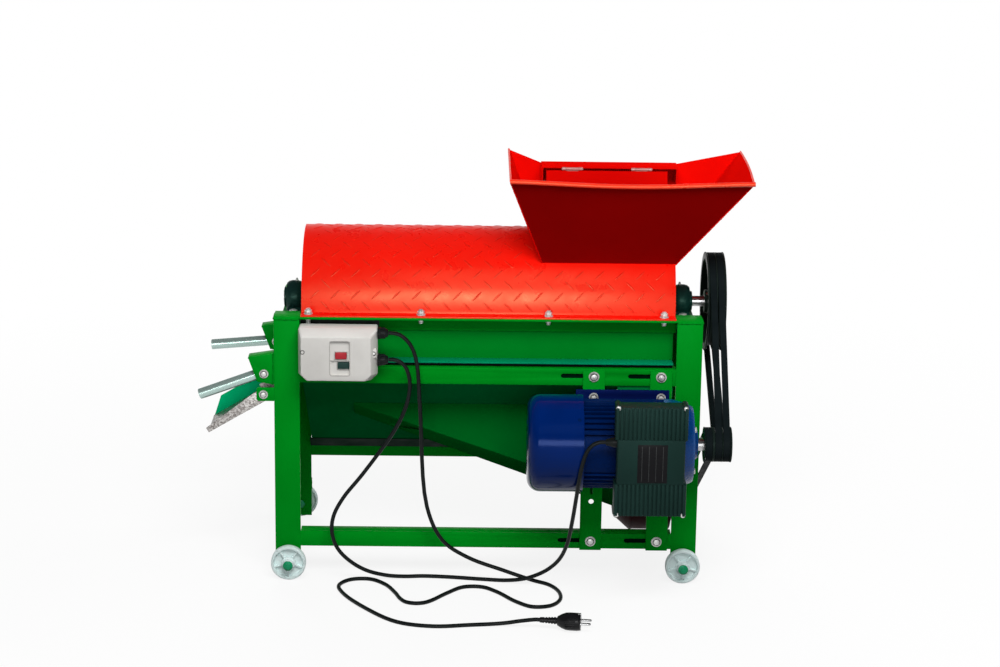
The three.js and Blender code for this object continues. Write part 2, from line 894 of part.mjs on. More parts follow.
// Slide that carries the grain to the rear: screwed to the front rail, resting on the rear one
const slideFront = -halfDepth + steelWall;
const slideRear = halfDepth - railFlange;
const slideRise = (slideFrontZ - rearRailTop - sheet) / (slideRear - slideFront - sheet);
const slideAt = (y) => slideFrontZ - slideRise * (y - slideFront - sheet);
const slideDrop = sheet * Math.hypot(1, slideRise);
const slideFlangeTop = strapBoltTop - boltHead;
const slideFoot = slideFront + sheet + (slideFrontZ - slideDrop - rearRailTop) / slideRise;

function slide() {
  const outline = [
    [slideFront, slideFlangeTop],
    [slideFront + sheet, slideFlangeTop],
    [slideFront + sheet, slideFrontZ],
    [slideRear, rearRailTop + sheet],
    [halfDepth + slideLip, rearRailTop + sheet],
    [halfDepth + slideLip, rearRailTop],
    [slideFoot, rearRailTop],
    [slideFront, slideAt(slideFront) - slideDrop],
  ];
  return prism(outline, 'x', -plateOuter, slideEnd);
}

add('grain_slide', greenPaint, slide());

// Air duct: a wedge under the slide that deepens towards the fan
const ductEnd = fanLeft - fanCone - gap;

function ductWedge(inset) {
  const front = -ductRidge + inset;
  const back = -ductBack - inset;
  const roof = (y) => slideAt(y) - slideDrop - gap - inset * 2;
  const section = (x, bottom) => [
    [x, front, roof(front)],
    [x, front, Math.min(bottom + ductBand, roof(front) - ductApexHeight / 2) + inset],
    [x, back, Math.min(bottom, roof(back) - ductApexHeight) + inset * 2],
    [x, back, roof(back)],
  ];
  const apexBottom = roof(-ductBack) - ductApexHeight;
  return hull([...section(-ductApex + inset * 3, apexBottom), ...section(ductEnd + inset * 3, ductBottom)]);
}

function airDuct() {
  const slot = block(
    -ductApex + ductRidge,
    ductEnd - ductRidge,
    -ductRidge + sheet * 2,
    -ductBack - sheet * 2,
    slideAt(-ductRidge) - overrun * 3,
    slideFrontZ,
  );
  const beyond = block(ductEnd, ductEnd + standLength, -halfDepth, halfDepth, 0, standHeight);
  return cut(cut(ductWedge(0), ductWedge(ductSheet)), slot, beyond);
}

add('air_duct', greenPaint, airDuct());

// Fan casing on the right lower rail, with a cone on its left and an inlet on its right
function fanCasing() {
  const profile = (inset) => [
    [0, fanLeft - fanCone + inset],
    [fanConeRadius - inset, fanLeft - fanCone + inset],
    [fanRadius - inset, fanLeft + inset / 2],
    [fanRadius - inset, fanRight - inset],
    [0, fanRight - inset],
  ];
  const shell = cut(
    turned(profile(0), 'x', fanDepth, fanHeight, pulleySides),
    turned(profile(sheet), 'x', fanDepth, fanHeight, pulleySides),
  );
  const inlet = rod('x', fanDepth, fanHeight, fanInlet, fanRight - overrun, fanRight + overrun);
  const outlet = block(fanLeft - fanCone - overrun, fanLeft - overrun, -ductRidge, -ductBack, 0,
    fanHeight + fanRadius);
  const bridge = join(
    block(fanRight - sheet, fanRight, fanDepth - fanBearingRadius / 2, fanDepth + fanBearingRadius / 2,
      fanHeight - fanInlet - sheet, fanHeight + fanInlet + sheet),
    rod('x', fanDepth, fanHeight, fanBearingRadius, fanRight - sheet, fanRight + fanBearingRadius),
    rod('x', fanDepth, fanHeight, fanBearingRadius, fanLeft - fanCone,
      fanLeft - fanCone + fanBearingRadius),
  );
  const foot = block(fanRight - sheet, halfLength - steelWall - gap, fanDepth - fanRadius / 2,
    fanDepth + fanRadius / 2,
    lowRailTop, lowRailTop + sheet);
  const footInside = turned(profile(sheet), 'x', fanDepth, fanHeight, pulleySides);
  const bore = rod('x', fanDepth, fanHeight, clearing(fanShaftRadius, boreGap), 0, standLength);
  return cut(join(cut(shell, inlet, outlet), bridge, cut(foot, footInside)), bore);
}

function fanRotor() {
  const wheelLeft = fanLeft + sheet * 2;
  const wheelRight = fanRight - overrun;
  const blades = Array.from({ length: fanBlades }, (_, i) => block(
    wheelLeft,
    wheelRight,
    -sheet / 2,
    sheet / 2,
    fanHubRadius / 2,
    fanBladeRadius,
  ).rotate([(i * fullTurn) / fanBlades, 0, 0]).translate([0, fanDepth, fanHeight]));
  return join(
    rod('x', fanDepth, fanHeight, fanShaftRadius, fanShaftLeft, fanShaftRight),
    rod('x', fanDepth, fanHeight, fanHubRadius, wheelLeft, wheelRight),
    blades,
  );
}

add('fan_casing', maroonPaint, fanCasing());
add('fan_rotor', steel, fanRotor());

// V-groove pulleys and the belts that run in them
function groove(radius, plane) {
  const top = beltTop / 2 + beltRoom;
  const bottom = beltBottom / 2 + beltRoom;
  const floor = radius - beltHeight - beltRoom - grooveFloor;
  return [
    [radius, plane - top],
    [floor, plane - bottom],
    [floor, plane + bottom],
    [radius, plane + top],
  ];
}

const pulleyCentre = (pulleyLeft + pulleyRight) / 2;
const beltPlanes = [pulleyCentre - beltPitch / 2, pulleyCentre + beltPitch / 2];
const fanFlange = (beltTop / 2 + beltRoom) * fanFlangeShare;

function drumPulley() {
  const bore = clearing(shaftRadius, gap, pulleySides);
  const rimInner = drumPulleyRadius - pulleyRim;
  const [webLeft, webRight] = [pulleyCentre - pulleyWeb / 2, pulleyCentre + pulleyWeb / 2];
  return turned([
    [bore, pulleyLeft],
    [pulleyHubRadius, pulleyLeft],
    [pulleyHubRadius, webLeft],
    [rimInner, webLeft],
    [rimInner, pulleyLeft],
    [drumPulleyRadius, pulleyLeft],
    ...beltPlanes.flatMap((plane) => groove(drumPulleyRadius, plane)),
    [drumPulleyRadius, pulleyRight],
    [rimInner, pulleyRight],
    [rimInner, webRight],
    [pulleyHubRadius, webRight],
    [pulleyHubRadius, pulleyRight],
    [bore, pulleyRight],
    [bore, pulleyLeft],
  ], 'x', 0, shaftHeight, pulleySides);
}

function plainPulley(radius, boreRadius, left, right, planes, y, z) {
  const bore = clearing(boreRadius, gap, pulleySides);
  return turned([
    [bore, left],
    [radius, left],
    ...planes.flatMap((plane) => groove(radius, plane)),
    [radius, right],
    [bore, right],
    [bore, left],
  ], 'x', y, z, pulleySides);
}

// The outline round two pulleys, at one belt radius on each
function beltOutline(first, second) {
  const [dy, dz] = [second.y - first.y, second.z - first.z];
  const spread = Math.acos((first.radius - second.radius) / Math.hypot(dy, dz));
  const heading = Math.atan2(dz, dy);
  const [open, close] = [THREE.MathUtils.radToDeg(heading + spread),
    THREE.MathUtils.radToDeg(heading - spread)];
  return [
    ...arc(first.y, first.z, first.radius, open, close + fullTurn, pulleySides),
    ...arc(second.y, second.z, second.radius, close, open, roundSides),
  ];
}

function belt(plane, first, second) {
  const shrink = (pulley, depth) => ({ ...pulley, radius: pulley.radius - grooveFloor / 2 - depth });
  const outer = beltOutline(shrink(first, 0), shrink(second, 0));
  const inner = beltOutline(shrink(first, beltHeight), shrink(second, beltHeight));
  const rings = [
    [outer, -beltTop / 2],
    [outer, beltTop / 2],
    [inner, beltBottom / 2],
    [inner, -beltBottom / 2],
  ];
  const count = outer.length;
  const points = rings.flatMap(([ring, offset]) => ring.flatMap(([y, z]) => [plane + offset, y, z]));
  const index = [];
  for (let ring = 0; ring < rings.length; ring += 1) {
    for (let i = 0; i < count; i += 1) {
      const [a, b] = [ring * count + i, ring * count + ((i + 1) % count)];
      const [c, d] = [((ring + 1) % rings.length) * count, (i + 1) % count];
      index.push(a, b, c + d, a, c + d, c + i);
    }
  }
  const geometry = new THREE.BufferGeometry();
  geometry.setAttribute('position', new THREE.Float32BufferAttribute(points, 3));
  geometry.setIndex(index);
  return toSolid(geometry);
}

const drumDrive = { y: 0, z: shaftHeight, radius: drumPulleyRadius };
const motorDrive = { y: -motorDepth, z: motorHeight, radius: motorPulleyRadius };
const fanDrive = { y: fanDepth, z: fanHeight, radius: fanPulleyRadius };

add('drum_pulley', rubber, drumPulley());
add('motor_pulley', rubber, plainPulley(motorPulleyRadius, motorShaftRadius, fanBeltPlane - fanFlange,
  pulleyRight,
  [fanBeltPlane, ...beltPlanes], -motorDepth, motorHeight));
add('fan_pulley', darkPaint, plainPulley(fanPulleyRadius, fanShaftRadius, fanBeltPlane - fanFlange,
  fanBeltPlane + fanFlange, [fanBeltPlane], fanDepth, fanHeight));
add('drive_belt_inner', rubber, belt(beltPlanes[0], drumDrive, motorDrive));
add('drive_belt_outer', rubber, belt(beltPlanes[1], drumDrive, motorDrive));
add('fan_belt', rubber, belt(fanBeltPlane, motorDrive, fanDrive));

// Hopper: four sloping walls, a rolled lip, and the cover and cheeks of its throat
const hopperCorners = (inset, rise) => [
  [hopperLeft + inset, -hopperDepth + inset, hopperBase - rise],
  [hopperRight - inset, -hopperDepth + inset, hopperBase - rise],
  [hopperLeft + inset, hopperDepth - inset, hopperBase - rise],
  [hopperRight - inset, hopperDepth - inset, hopperBase - rise],
  [hopperRimLeft + inset, -hopperRimFront + inset, hopperRim + rise],
  [hopperRimRight - inset, -hopperRimFront + inset, hopperRim + rise],
  [hopperRimLeft + inset, hopperRimRear - inset, hopperRim + rise],
  [hopperRimRight - inset, hopperRimRear - inset, hopperRim + rise],
];
const rearWallAt = (z) => hopperDepth + (hopperFlareRear * (z - hopperBase)) / hopperHeight;
const hingeY = coverFront - hingeRadius - gap;
const hingeZ = hopperDip;
const hingeStarts = [flapLeft + hingeInset, flapRight - hingeInset - hingeLength];

function hopper() {
  const walls = cut(hull(hopperCorners(0, 0)), hull(hopperCorners(sheet, weldTolerance)));
  const lip = cut(
    block(hopperRimLeft, hopperRimRight, -hopperRimFront - hopperLip, -hopperRimFront + sheet,
      hopperRim - hopperLip / 2,
      hopperRim + hopperLip / 2),
    hull(hopperCorners(sheet, overrun)),
  );
  const dip = prism([
    [hopperRimLeft, hopperRim],
    [hopperLeft, hopperDip],
    [coverRight, hopperDip],
    [hopperRimRight, hopperRim],
    [hopperRimRight, hopperRim + overrun],
    [hopperRimLeft, hopperRim + overrun],
  ], 'y', coverFront + overrun, hopperRimRear + overrun);
  const rearTop = rearWallAt(hopperDip);
  const cover = prism([
    [coverFront, hopperDip],
    [rearTop, hopperDip],
    [rearTop, hopperDip + coverRearThickness],
    [coverFront, hopperDip + coverThickness],
  ], 'x', hopperLeft, coverRight);
  const cheek = (x) => prism([
    [coverFront, hopperDip],
    [rearTop - sheet / 2, hopperDip],
    [rearWallAt(cheekBottom) - sheet / 2, cheekBottom],
    [coverFront + overrun, cheekBottom],
  ], 'x', x, x + sheet);
  const lugs = hingeStarts.flatMap((start) => [start, start + hingeLength - hingeLug].map((x) => join(
    rod('x', hingeY, hingeZ, hingeRadius, x, x + hingeLug, smallSides),
    block(x, x + hingeLug, hingeY, coverFront, hingeZ, hingeZ + hingeRadius),
  )));
  const pins = hingeStarts.map((start) => rod('x', hingeY, hingeZ, hingePin, start, start + hingeLength,
    smallSides));
  const hoodRoom = cut(
    rod('x', 0, standHeight, hoodRadius + gap, -standLength, hoodHalf + gap, pulleySides * 2),
    feedCutOut(gap),
  );
  const shell = join(cut(walls, dip), lip, cover, cheek(hopperLeft), cheek(coverRight - sheet), lugs, pins);
  return cut(shell, hoodRoom);
}

function flap() {
  const top = hingeZ - hingeRadius - gap;
  const knuckles = hingeStarts.map((start) => {
    const [from, to] = [start + hingeLug + gap, start + hingeLength - hingeLug - gap];
    const knuckle = join(
      rod('x', hingeY, hingeZ, hingeRadius, from, to, smallSides),
      block(from, to, hingeY - chuteSheet / 2, hingeY + chuteSheet / 2, top - hingeRadius, hingeZ),
    );
    const bore = rod('x', hingeY, hingeZ, clearing(hingePin, gap, smallSides), from - overrun,
      to + overrun, smallSides);
    return cut(knuckle, bore);
  });
  const plate = block(flapLeft, flapRight, hingeY - chuteSheet / 2, hingeY + chuteSheet / 2,
    top - flapLength, top);
  return join(plate, knuckles);
}

add('hopper', redPaint, hopper());
add('hopper_flap', redPaint, flap());

// Motor: finned housing with its foot, fan cover, rotor and terminal box
const strapFront = -halfDepth - steelWall;
const footFront = strapFront - footThickness;

function motorHousing() {
  const finPoints = Array.from({ length: motorFins }, (_, i) => {
    const step = fullTurn / motorFins;
    const at = (radius, share) => arc(-motorDepth, motorHeight, radius, step * (i + share),
      step * (i + share), 1)[0];
    return [at(motorFinRoot, 0), at(motorRadius, finShares[0]), at(motorRadius, finShares[1]),
      at(motorFinRoot, finShares[2])];
  }).flat();
  const fins = prism(finPoints, 'x', motorLeft, motorShield);
  const shield = turned([
    [0, motorLeft - motorCollar],
    [motorCoverRadius - motorCoverWall - gap, motorLeft - motorCollar],
    [motorCoverRadius - motorCoverWall - gap, motorLeft + motorWall],
    [motorFinRoot, motorLeft + motorWall],
    [motorFinRoot, motorShield - motorWall],
    [motorRadius, motorShield - motorWall],
    [motorRadius, motorShield + motorCollar],
    [motorFinRoot - motorWall, motorRight - motorSpigot],
    [motorShaftRadius * 2, motorRight - motorSpigot],
    [motorShaftRadius * 2, motorRight],
    [0, motorRight],
  ], 'x', -motorDepth, motorHeight, pulleySides);
  const ribs = [-1, 1].map((way) => block(
    footLeft + footRib,
    motorShield,
    footFront,
    -motorDepth + overrun,
    motorHeight + (way * motorFinRoot) / 2,
    motorHeight + way * (motorFinRoot / 2 + footRib),
  ));
  const coverRoom = rod('x', -motorDepth, motorHeight, clearing(motorCoverRadius, gap, pulleySides),
    motorCoverLeft,
    motorLeft + motorWall + gap, pulleySides);
  const foot = cut(block(footLeft, footRight, footFront, strapFront, footBottom, footTop), coverRoom);
  const pad = block(boxLeft + boxPadMargin, motorShield, -boxBack, -motorDepth,
    boxBottom + boxRibLength / 2, boxTop - boxRibLength / 2);
  const cavity = turned([
    [0, motorLeft + motorWall],
    [motorBore, motorLeft + motorWall],
    [motorBore, motorShield + motorWall],
    [0, motorShield + motorWall],
  ], 'x', -motorDepth, motorHeight);
  const recess = rod('x', -motorDepth, motorHeight, motorFinRoot - motorWall, motorLeft - motorCollar,
    motorLeft);
  const bore = rod('x', -motorDepth, motorHeight, clearing(motorShaftRadius, boreGap), 0, standLength);
  const boltHoles = strapCentres.flatMap((x) => [footBoltTop, footBoltBottom].map((z) => rod('y', x, z,
    clearing(boltRadius, boreGap, smallSides), footFront - overrun / 4, strapFront + overrun, smallSides)));
  return cut(join(fins, shield, ribs, foot, pad), cavity, recess, bore, boltHoles);
}

function motorFanCover() {
  const right = motorLeft + motorWall - gap * 2;
  const round = (radius, left, inset) => arc(left + motorCoverRound, radius - motorCoverRound,
    motorCoverRound - inset, halfTurn, halfTurn / 2, coverSteps)
    .map(([place, reach]) => [reach, place]);
  const outer = [[0, motorCoverLeft], ...round(motorCoverRadius, motorCoverLeft, 0), [motorCoverRadius,
    right]];
  const inner = round(motorCoverRadius, motorCoverLeft, motorCoverWall).reverse();
  const shell = turned([
    ...outer,
    [motorCoverRadius - motorCoverWall, right],
    ...inner,
    [0, motorCoverLeft + motorCoverWall],
  ], 'x', -motorDepth, motorHeight, pulleySides);
  const slotReach = motorCoverRadius - motorCoverRound;
  const vents = Array.from({ length: smallSides }, (_, i) => block(
    motorCoverLeft - overrun,
    motorCoverLeft + overrun,
    -motorCoverRound / 8,
    motorCoverRound / 8,
    slotReach * ventShare,
    slotReach,
  ).rotate([(i * fullTurn) / smallSides, 0, 0]).translate([0, -motorDepth, motorHeight]));
  return cut(shell, vents);
}

function motorRotor() {
  const coreLeft = motorLeft + motorWall * 2;
  const coreRight = motorShield - motorWall;
  const fanStart = motorShaftStart + motorWall;
  const fanEnd = motorLeft - motorCollar - motorWall;
  const blades = Array.from({ length: fanBlades + 1 }, (_, i) => block(
    fanStart,
    fanEnd,
    -motorCoverWall,
    motorCoverWall,
    motorShaftRadius / 2,
    motorFanRadius,
  ).rotate([(i * fullTurn) / (fanBlades + 1), 0, 0]).translate([0, -motorDepth, motorHeight]));
  return join(
    rod('x', -motorDepth, motorHeight, motorShaftRadius, motorShaftStart, motorShaftEnd),
    rod('x', -motorDepth, motorHeight, motorBore - gap * 3, coreLeft, coreRight),
    rod('x', -motorDepth, motorHeight, motorFanRadius, fanEnd - motorWall, fanEnd),
    blades,
  );
}

add('motor_housing', bluePaint, motorHousing());
add('motor_fan_cover', bluePaint, motorFanCover());
add('motor_rotor', steel, motorRotor());

// Straps that carry the motor, each with its two rail bolts and two foot bolts
function strap(x) {
  const plate = block(x - strapWidth / 2, x + strapWidth / 2, strapFront, -halfDepth, strapBottom,
    strapTop);
  const hole = rod('y', x, strapHoleHeight, strapHoleRadius, strapFront - overrun, -halfDepth + overrun,
    smallSides);
  const keyhole = block(
    x - strapHoleRadius / 2,
    x + strapHoleRadius / 2,
    strapFront - overrun,
    -halfDepth + overrun,
    strapHoleHeight + strapHoleRadius * 3,
    strapHoleHeight + strapHoleRadius * 6,
  );
  const railBack = -halfDepth + steelWall;
  const railBolts = [strapBoltTop, strapBoltBottom].flatMap((z) => [
    rod('y', x, z, boltHead, strapFront - boltHeadHeight, strapFront, smallSides),
    rod('y', x, z, boltRadius, -halfDepth, railBack + gap + boltNutHeight, smallSides),
    rod('y', x, z, boltHead * nutShare, railBack + gap, railBack + gap + boltNutHeight, smallSides / 2),
  ]);
  const footBolts = [footBoltTop, footBoltBottom].flatMap((z) => [
    rod('y', x, z, boltRadius, footFront - gap - boltHeadHeight, strapFront, smallSides),
    rod('y', x, z, footBoltHead, footFront - gap - boltHeadHeight, footFront - gap, smallSides),
  ]);
  return join(cut(plate, hole, keyhole), railBolts, footBolts);
}

add('motor_strap_left', greenPaint, strap(strapFirst));
add('motor_strap_right', greenPaint, strap(strapSecond));

// Terminal box in front of the motor, ribbed above and below a plain middle
function terminalBox() {
  const body = block(boxLeft, boxRight, -boxFront, -boxBack, boxBottom, boxTop);
  const space = (boxRight - boxLeft) / (boxRibCount + 1);
  const grooves = Array.from({ length: boxRibCount }, (_, i) => {
    const x = boxLeft + space * (i + 1);
    return [[boxBottom - overrun, boxBottom + boxRibLength], [boxTop - boxRibLength,
      boxTop + overrun]].map(([low, high]) =>
      block(x - space * boxGrooveShare, x + space * boxGrooveShare, -boxFront - overrun,
        -boxFront + boxRibDepth, low, high));
  }).flat();
  const inside = block(
    boxLeft + motorWall,
    boxRight - motorWall,
    -boxFront + boxWall,
    -boxBack + overrun,
    boxBottom + motorWall,
    boxTop - motorWall,
  );
  const floor = block(boxLeft, boxRight, -boxBack - motorWall / 2, -boxBack, boxBottom, boxTop);
  const vent = rod('y', (boxLeft + boxRight) / 2, boxBottom + boxRibLength / 2 - motorWall * 2, motorWall,
    -boxBack - overrun,
    -boxBack + overrun, smallSides);
  const screws = [boxLeft + boxScrewRadius, boxRight - boxScrewRadius].flatMap((x) => [
    boxBottom - boxScrewRadius / 2,
    boxTop + boxScrewRadius / 2,
  ].map((z) => rod('y', x, z, boxScrewRadius, -boxFront + boxRibDepth * 2, -boxBack - motorWall,
    smallSides)));
  const gland = join(
    rod('x', -boxGlandDepth, boxGlandHeight, glandRadius, boxLeft - glandLength * boxGlandShare, boxLeft),
    rod('x', -boxGlandDepth, boxGlandHeight, glandNutRadius, boxLeft - glandNutLength / 2, boxLeft,
      smallSides / 2),
  );
  return join(cut(join(cut(body, grooves, inside), floor), vent), screws, gland);
}

add('terminal_box', boxPaint, terminalBox());

// Switch box: base, chamfered cover, window with two buttons, and two glands
const switchFront = -halfDepth - switchDepth;

function switchBody(inset) {
  const chamferStart = switchFront + switchChamferDepth;
  const corners = (y, shrink) => [
    [-switchLeft + inset + shrink, y, switchBottom + inset + shrink],
    [-switchRight - inset - shrink, y, switchBottom + inset + shrink],
    [-switchLeft + inset + shrink, y, switchTop - inset - shrink],
    [-switchRight - inset - shrink, y, switchTop - inset - shrink],
  ];
  return hull([...corners(-halfDepth - inset, 0), ...corners(chamferStart, 0),
    ...corners(switchFront + inset, switchChamfer)]);
}

const buttons = [
  { name: 'stop_button', paint: stopRed, x: stopButtonX, z: stopButtonZ },
  { name: 'start_button', paint: startGreen, x: startButtonX, z: startButtonZ },
];

function buttonBlock(x, z, room, from, to) {
  const [width, height] = [buttonWidth / 2 + room, buttonHeight / 2 + room];
  return block(x - width, x + width, from, to, z - height, z + height);
}

function switchBox() {
  const windowPlane = switchFront + windowDepth;
  const window = block(-windowLeft, -windowRight, switchFront - overrun, windowPlane, windowBottom,
    windowTop);
  const frame = block(-windowLeft, -windowRight, windowPlane, windowPlane + switchWall, windowBottom,
    windowTop);
  const rim = block(
    -windowLeft - switchWall,
    -windowRight + switchWall,
    switchFront + switchWall / 2,
    windowPlane + switchWall,
    windowBottom - switchWall,
    windowTop + switchWall,
  );
  const holes = buttons.map(({ x, z }) => buttonBlock(x, z, boreGap, switchFront - overrun,
    windowPlane + overrun / 4));
  const glands = [mainsGlandHeight, motorGlandHeight].flatMap((z) => [
    rod('x', -glandPlane, z, glandRadius, -switchRight - switchWall, -switchRight + glandLength),
    rod('x', -glandPlane, z, glandNutRadius, -switchRight, -switchRight + glandNutLength, smallSides / 2),
  ]);
  const shell = cut(join(cut(switchBody(0), switchBody(switchWall)), rim), window);
  return join(cut(join(shell, frame), holes), glands);
}

add('switch_box', paleBox, switchBox());
for (const { name, paint, x, z } of buttons) {
  const front = switchFront + windowDepth - buttonProud;
  const cap = buttonBlock(x, z, 0, front, front + buttonLength);
  const collarPlane = switchFront + windowDepth + switchWall + gap;
  const collar = block(
    x - buttonWidth / 2 - windowDepth / 2,
    x + buttonWidth / 2 + windowDepth / 2,
    collarPlane,
    collarPlane + switchWall / 2,
    z - buttonHeight / 2,
    z + buttonHeight / 2,
  );
  add(name, paint, join(cap, collar));
}

// Folding handles: a tube on a bolt between the cheeks of a bracket
const handleX = -(halfLength + handleOut);
const cheekBack = halfLength + bracketPlate;

function bracket(face, drop) {
  const z = handlePivot - drop;
  const outline = [
    [-halfLength - bracketReach, z + bracketTop * bracketTopShare],
    [-halfLength, z + bracketTop],
    [-halfLength, z - bracketBottom],
    [-halfLength - bracketReach * bracketWaistShare, z - bracketBottom * bracketFootShare],
  ];
  const cheek = (offset) => prism(outline, 'y', face * (handleDepth + offset),
    face * (handleDepth + offset + bracketPlate));
  const back = block(-halfLength, -cheekBack, face * (handleDepth - bracketGap - bracketPlate),
    face * (handleDepth + bracketGap + bracketPlate), z - bracketBottom, z + bracketTop);
  const web = prism([
    outline[0],
    outline[1],
    [-halfLength, z + bracketTop - bracketPlate],
    [-halfLength - bracketReach, z + bracketTop * bracketTopShare - bracketPlate],
  ], 'y', face * (handleDepth - bracketGap), face * (handleDepth + bracketGap));
  const bolt = rod('y', handleX, z, rodRadius,
    face * (handleDepth - bracketGap - bracketPlate - rodHeadHeight),
    face * (handleDepth + bracketGap + bracketPlate + rodHeadHeight));
  const head = rod('y', handleX, z, rodHead, face * (handleDepth + bracketGap + bracketPlate),
    face * (handleDepth + bracketGap + bracketPlate + rodHeadHeight));
  return join(cheek(bracketGap), cheek(-bracketGap - bracketPlate), back, web, bolt, head);
}

function handleTube() {
  const tube = cut(
    rod('x', 0, 0, handleRadius, -handleLength, handleTail),
    rod('x', 0, 0, handleRadius - handleWall, -handleLength - overrun, handleTail + overrun),
  );
  return cut(tube, rod('y', 0, 0, clearing(rodRadius, boreGap), -handleRadius * 2, handleRadius * 2));
}

// Places a mesh at its pivot, turned about the pivot's axis
function pivoted(mesh, x, y, z, tilt) {
  mesh.position.set(x, y, z);
  mesh.rotation.y = -THREE.MathUtils.degToRad(tilt);
}

add('handle_bracket_front', greenPaint, bracket(-1, 0));
add('handle_bracket_rear', greenPaint, bracket(1, handleDrop));
pivoted(add('handle_front', chrome, handleTube()), handleX, -handleDepth, handlePivot, frontHandleTilt);
pivoted(add('handle_rear', chrome, handleTube()), handleX, handleDepth, handlePivot - handleDrop,
  rearHandleTilt);

// Cob chute on its rod, drawn level about the rod and then tilted
function cobChute() {
  const inner = chuteNear - crossReach + gap * 10;
  const floor = join(
    block(-chuteReach, chuteNotch, 0, chuteNear - chuteFar, -chuteFloor, -chuteFloor + chuteSheet),
    block(-chuteReach / 2, chuteTail, inner, chuteNear - chuteFar, -chuteFloor, -chuteFloor + chuteSheet),
    block(-chuteNotch, chuteTail, inner, inner + chuteSheet, -chuteFloor, chuteNearTop),
  );
  const near = prism([
    [chuteNotch, -chuteFloor],
    [chuteNotch, chuteNearTop],
    [-chuteReach * chuteNearShare, chuteNearTop],
    [-chuteReach, -chuteNearTip],
    [-chuteReach, -chuteFloor],
  ], 'y', 0, chuteSheet);
  const far = prism([
    [chuteTail, -chuteFloor],
    [chuteTail, chuteFarTop],
    [-chuteReach * chuteFarShare, chuteFarTop],
    [-chuteReach, -chuteFloor],
  ], 'y', chuteNear - chuteFar - chuteSheet, chuteNear - chuteFar);
  const rodFront = chuteNear - halfDepth - gap;
  const rodRear = chuteNear - lugFront + lugThickness + gap;
  const pivotRod = rod('y', 0, 0, rodRadius, rodFront - rodHeadHeight, rodRear + rodHeadHeight, smallSides);
  const heads = [
    rod('y', 0, 0, rodHead, rodFront - rodHeadHeight, rodFront, smallSides),
    rod('y', 0, 0, rodHead, rodRear, rodRear + rodHeadHeight, smallSides / 2),
  ];
  return join(floor, near, far, pivotRod, heads);
}

pivoted(add('cob_chute', galvanised, cobChute()), chutePivotX, -chuteNear, chutePivotHeight, chuteTilt);

// Cords: routes chosen by hand
const mainsRoute = [
  [-162, -195, 483], [-145, -195, 466], [-133.5, -195, 436], [-126, -195, 345], [-112, -195, 150],
  [-82, -195, 83], [-35, -195, 50], [34, -195, 24], [88, -197, 6], [120, -217, cordFloor],
  [138, -255, cordFloor], [138, -298, cordFloor], [120, -327, cordFloor], [87, -333.5, cordFloor],
  [56, -307, cordFloor], [21, -257, cordFloor], [-7, -232, cordFloor], [-41, -233, cordFloor],
  [-72, -266, cordFloor], [-101, -306, cordFloor], [-115, -318, cordFloor], [-132, -321, cordFloor],
  [-148, -314.5, cordFloor], [-159, -297, cordFloor], [-169, -267, cordFloor], [-190, -222, cordFloor],
  [-220, -195, cordFloor], [-256, -199, cordFloor], [-276, -229, cordFloor], [-268, -268, cordFloor],
  [-225, -343, cordFloor], [-160, -417, cordFloor], [-95, -436, cordFloor], [-30, -428, cordFloor],
  [30, -423, 6], [66, -427.5, 13],
];
const motorCableRoute = [
  [-168.5, -195, 435], [-160, -195, 430], [-152.5, -195, 421], [-147.3, -195, 407], [-145, -195, 384],
  [-151, -195, 350], [-171, -195, 304], [-200, -195, 259], [-236, -195, 209], [-270, -195, 165],
  [-288, -195, 129], [-291, -195, 97], [-281, -195, 66], [-259, -194, 41], [-227, -190, 20],
  [-189, -184, 8], [-155, -179, cordFloor], [-119, -176, cordFloor], [-69, -180, cordFloor],
  [-7, -190, cordFloor], [40, -200, 6], [73, -207, 12], [97, -212, 22], [118, -221, 37],
  [138, -240, 64], [151, -266, 104], [158, -295, 156], [163, -322, 208], [167, -344, 252],
  [170.5, -353, 279], [174.8, -358, 299], [178.6, -359.5, 310.6], [183.7, -360, 319.6],
  [190.2, -360, 326.2], [197.6, -360, 330.2],
];

function cord(start, route, end, steps) {
  const points = [...start, ...route, ...end].map((point) => new THREE.Vector3(...point));
  const path = new THREE.CatmullRomCurve3(points, false, 'centripetal');
  const section = circle(0, 0, cordRadius, cordSides).map(([u, v]) => new THREE.Vector2(u, v));
  const geometry = new THREE.ExtrudeGeometry(new THREE.Shape(section), { steps, extrudePath: path });
  return toSolid(geometry);
}

const glandEnd = -switchRight + glandLength + gap;
const glandExit = (z) => [[glandEnd, -glandPlane, z], [glandEnd + cordRadius * 2, -glandPlane, z]];
const plugStart = [98, -432];
const plugEnd = [168, -441];
const plugHeading = Math.atan2(plugEnd[1] - plugStart[1], plugEnd[0] - plugStart[0]);
const plugAway = (reach) => [plugStart[0] - Math.cos(plugHeading) * reach,
  plugStart[1] - Math.sin(plugHeading) * reach, plugAxis];
const boxGlandEnd = boxLeft - glandLength * boxGlandShare - gap;

add('mains_cord', rubber, cord(glandExit(mainsGlandHeight), mainsRoute, [
  plugAway(cordRadius * 2),
  plugAway(gap),
], mainsSteps), cords);
add('motor_cable', rubber, cord(glandExit(motorGlandHeight), motorCableRoute, [
  [boxGlandEnd - cordRadius * 2, -boxGlandDepth, boxGlandHeight],
  [boxGlandEnd, -boxGlandDepth, boxGlandHeight],
], motorCableSteps), cords);

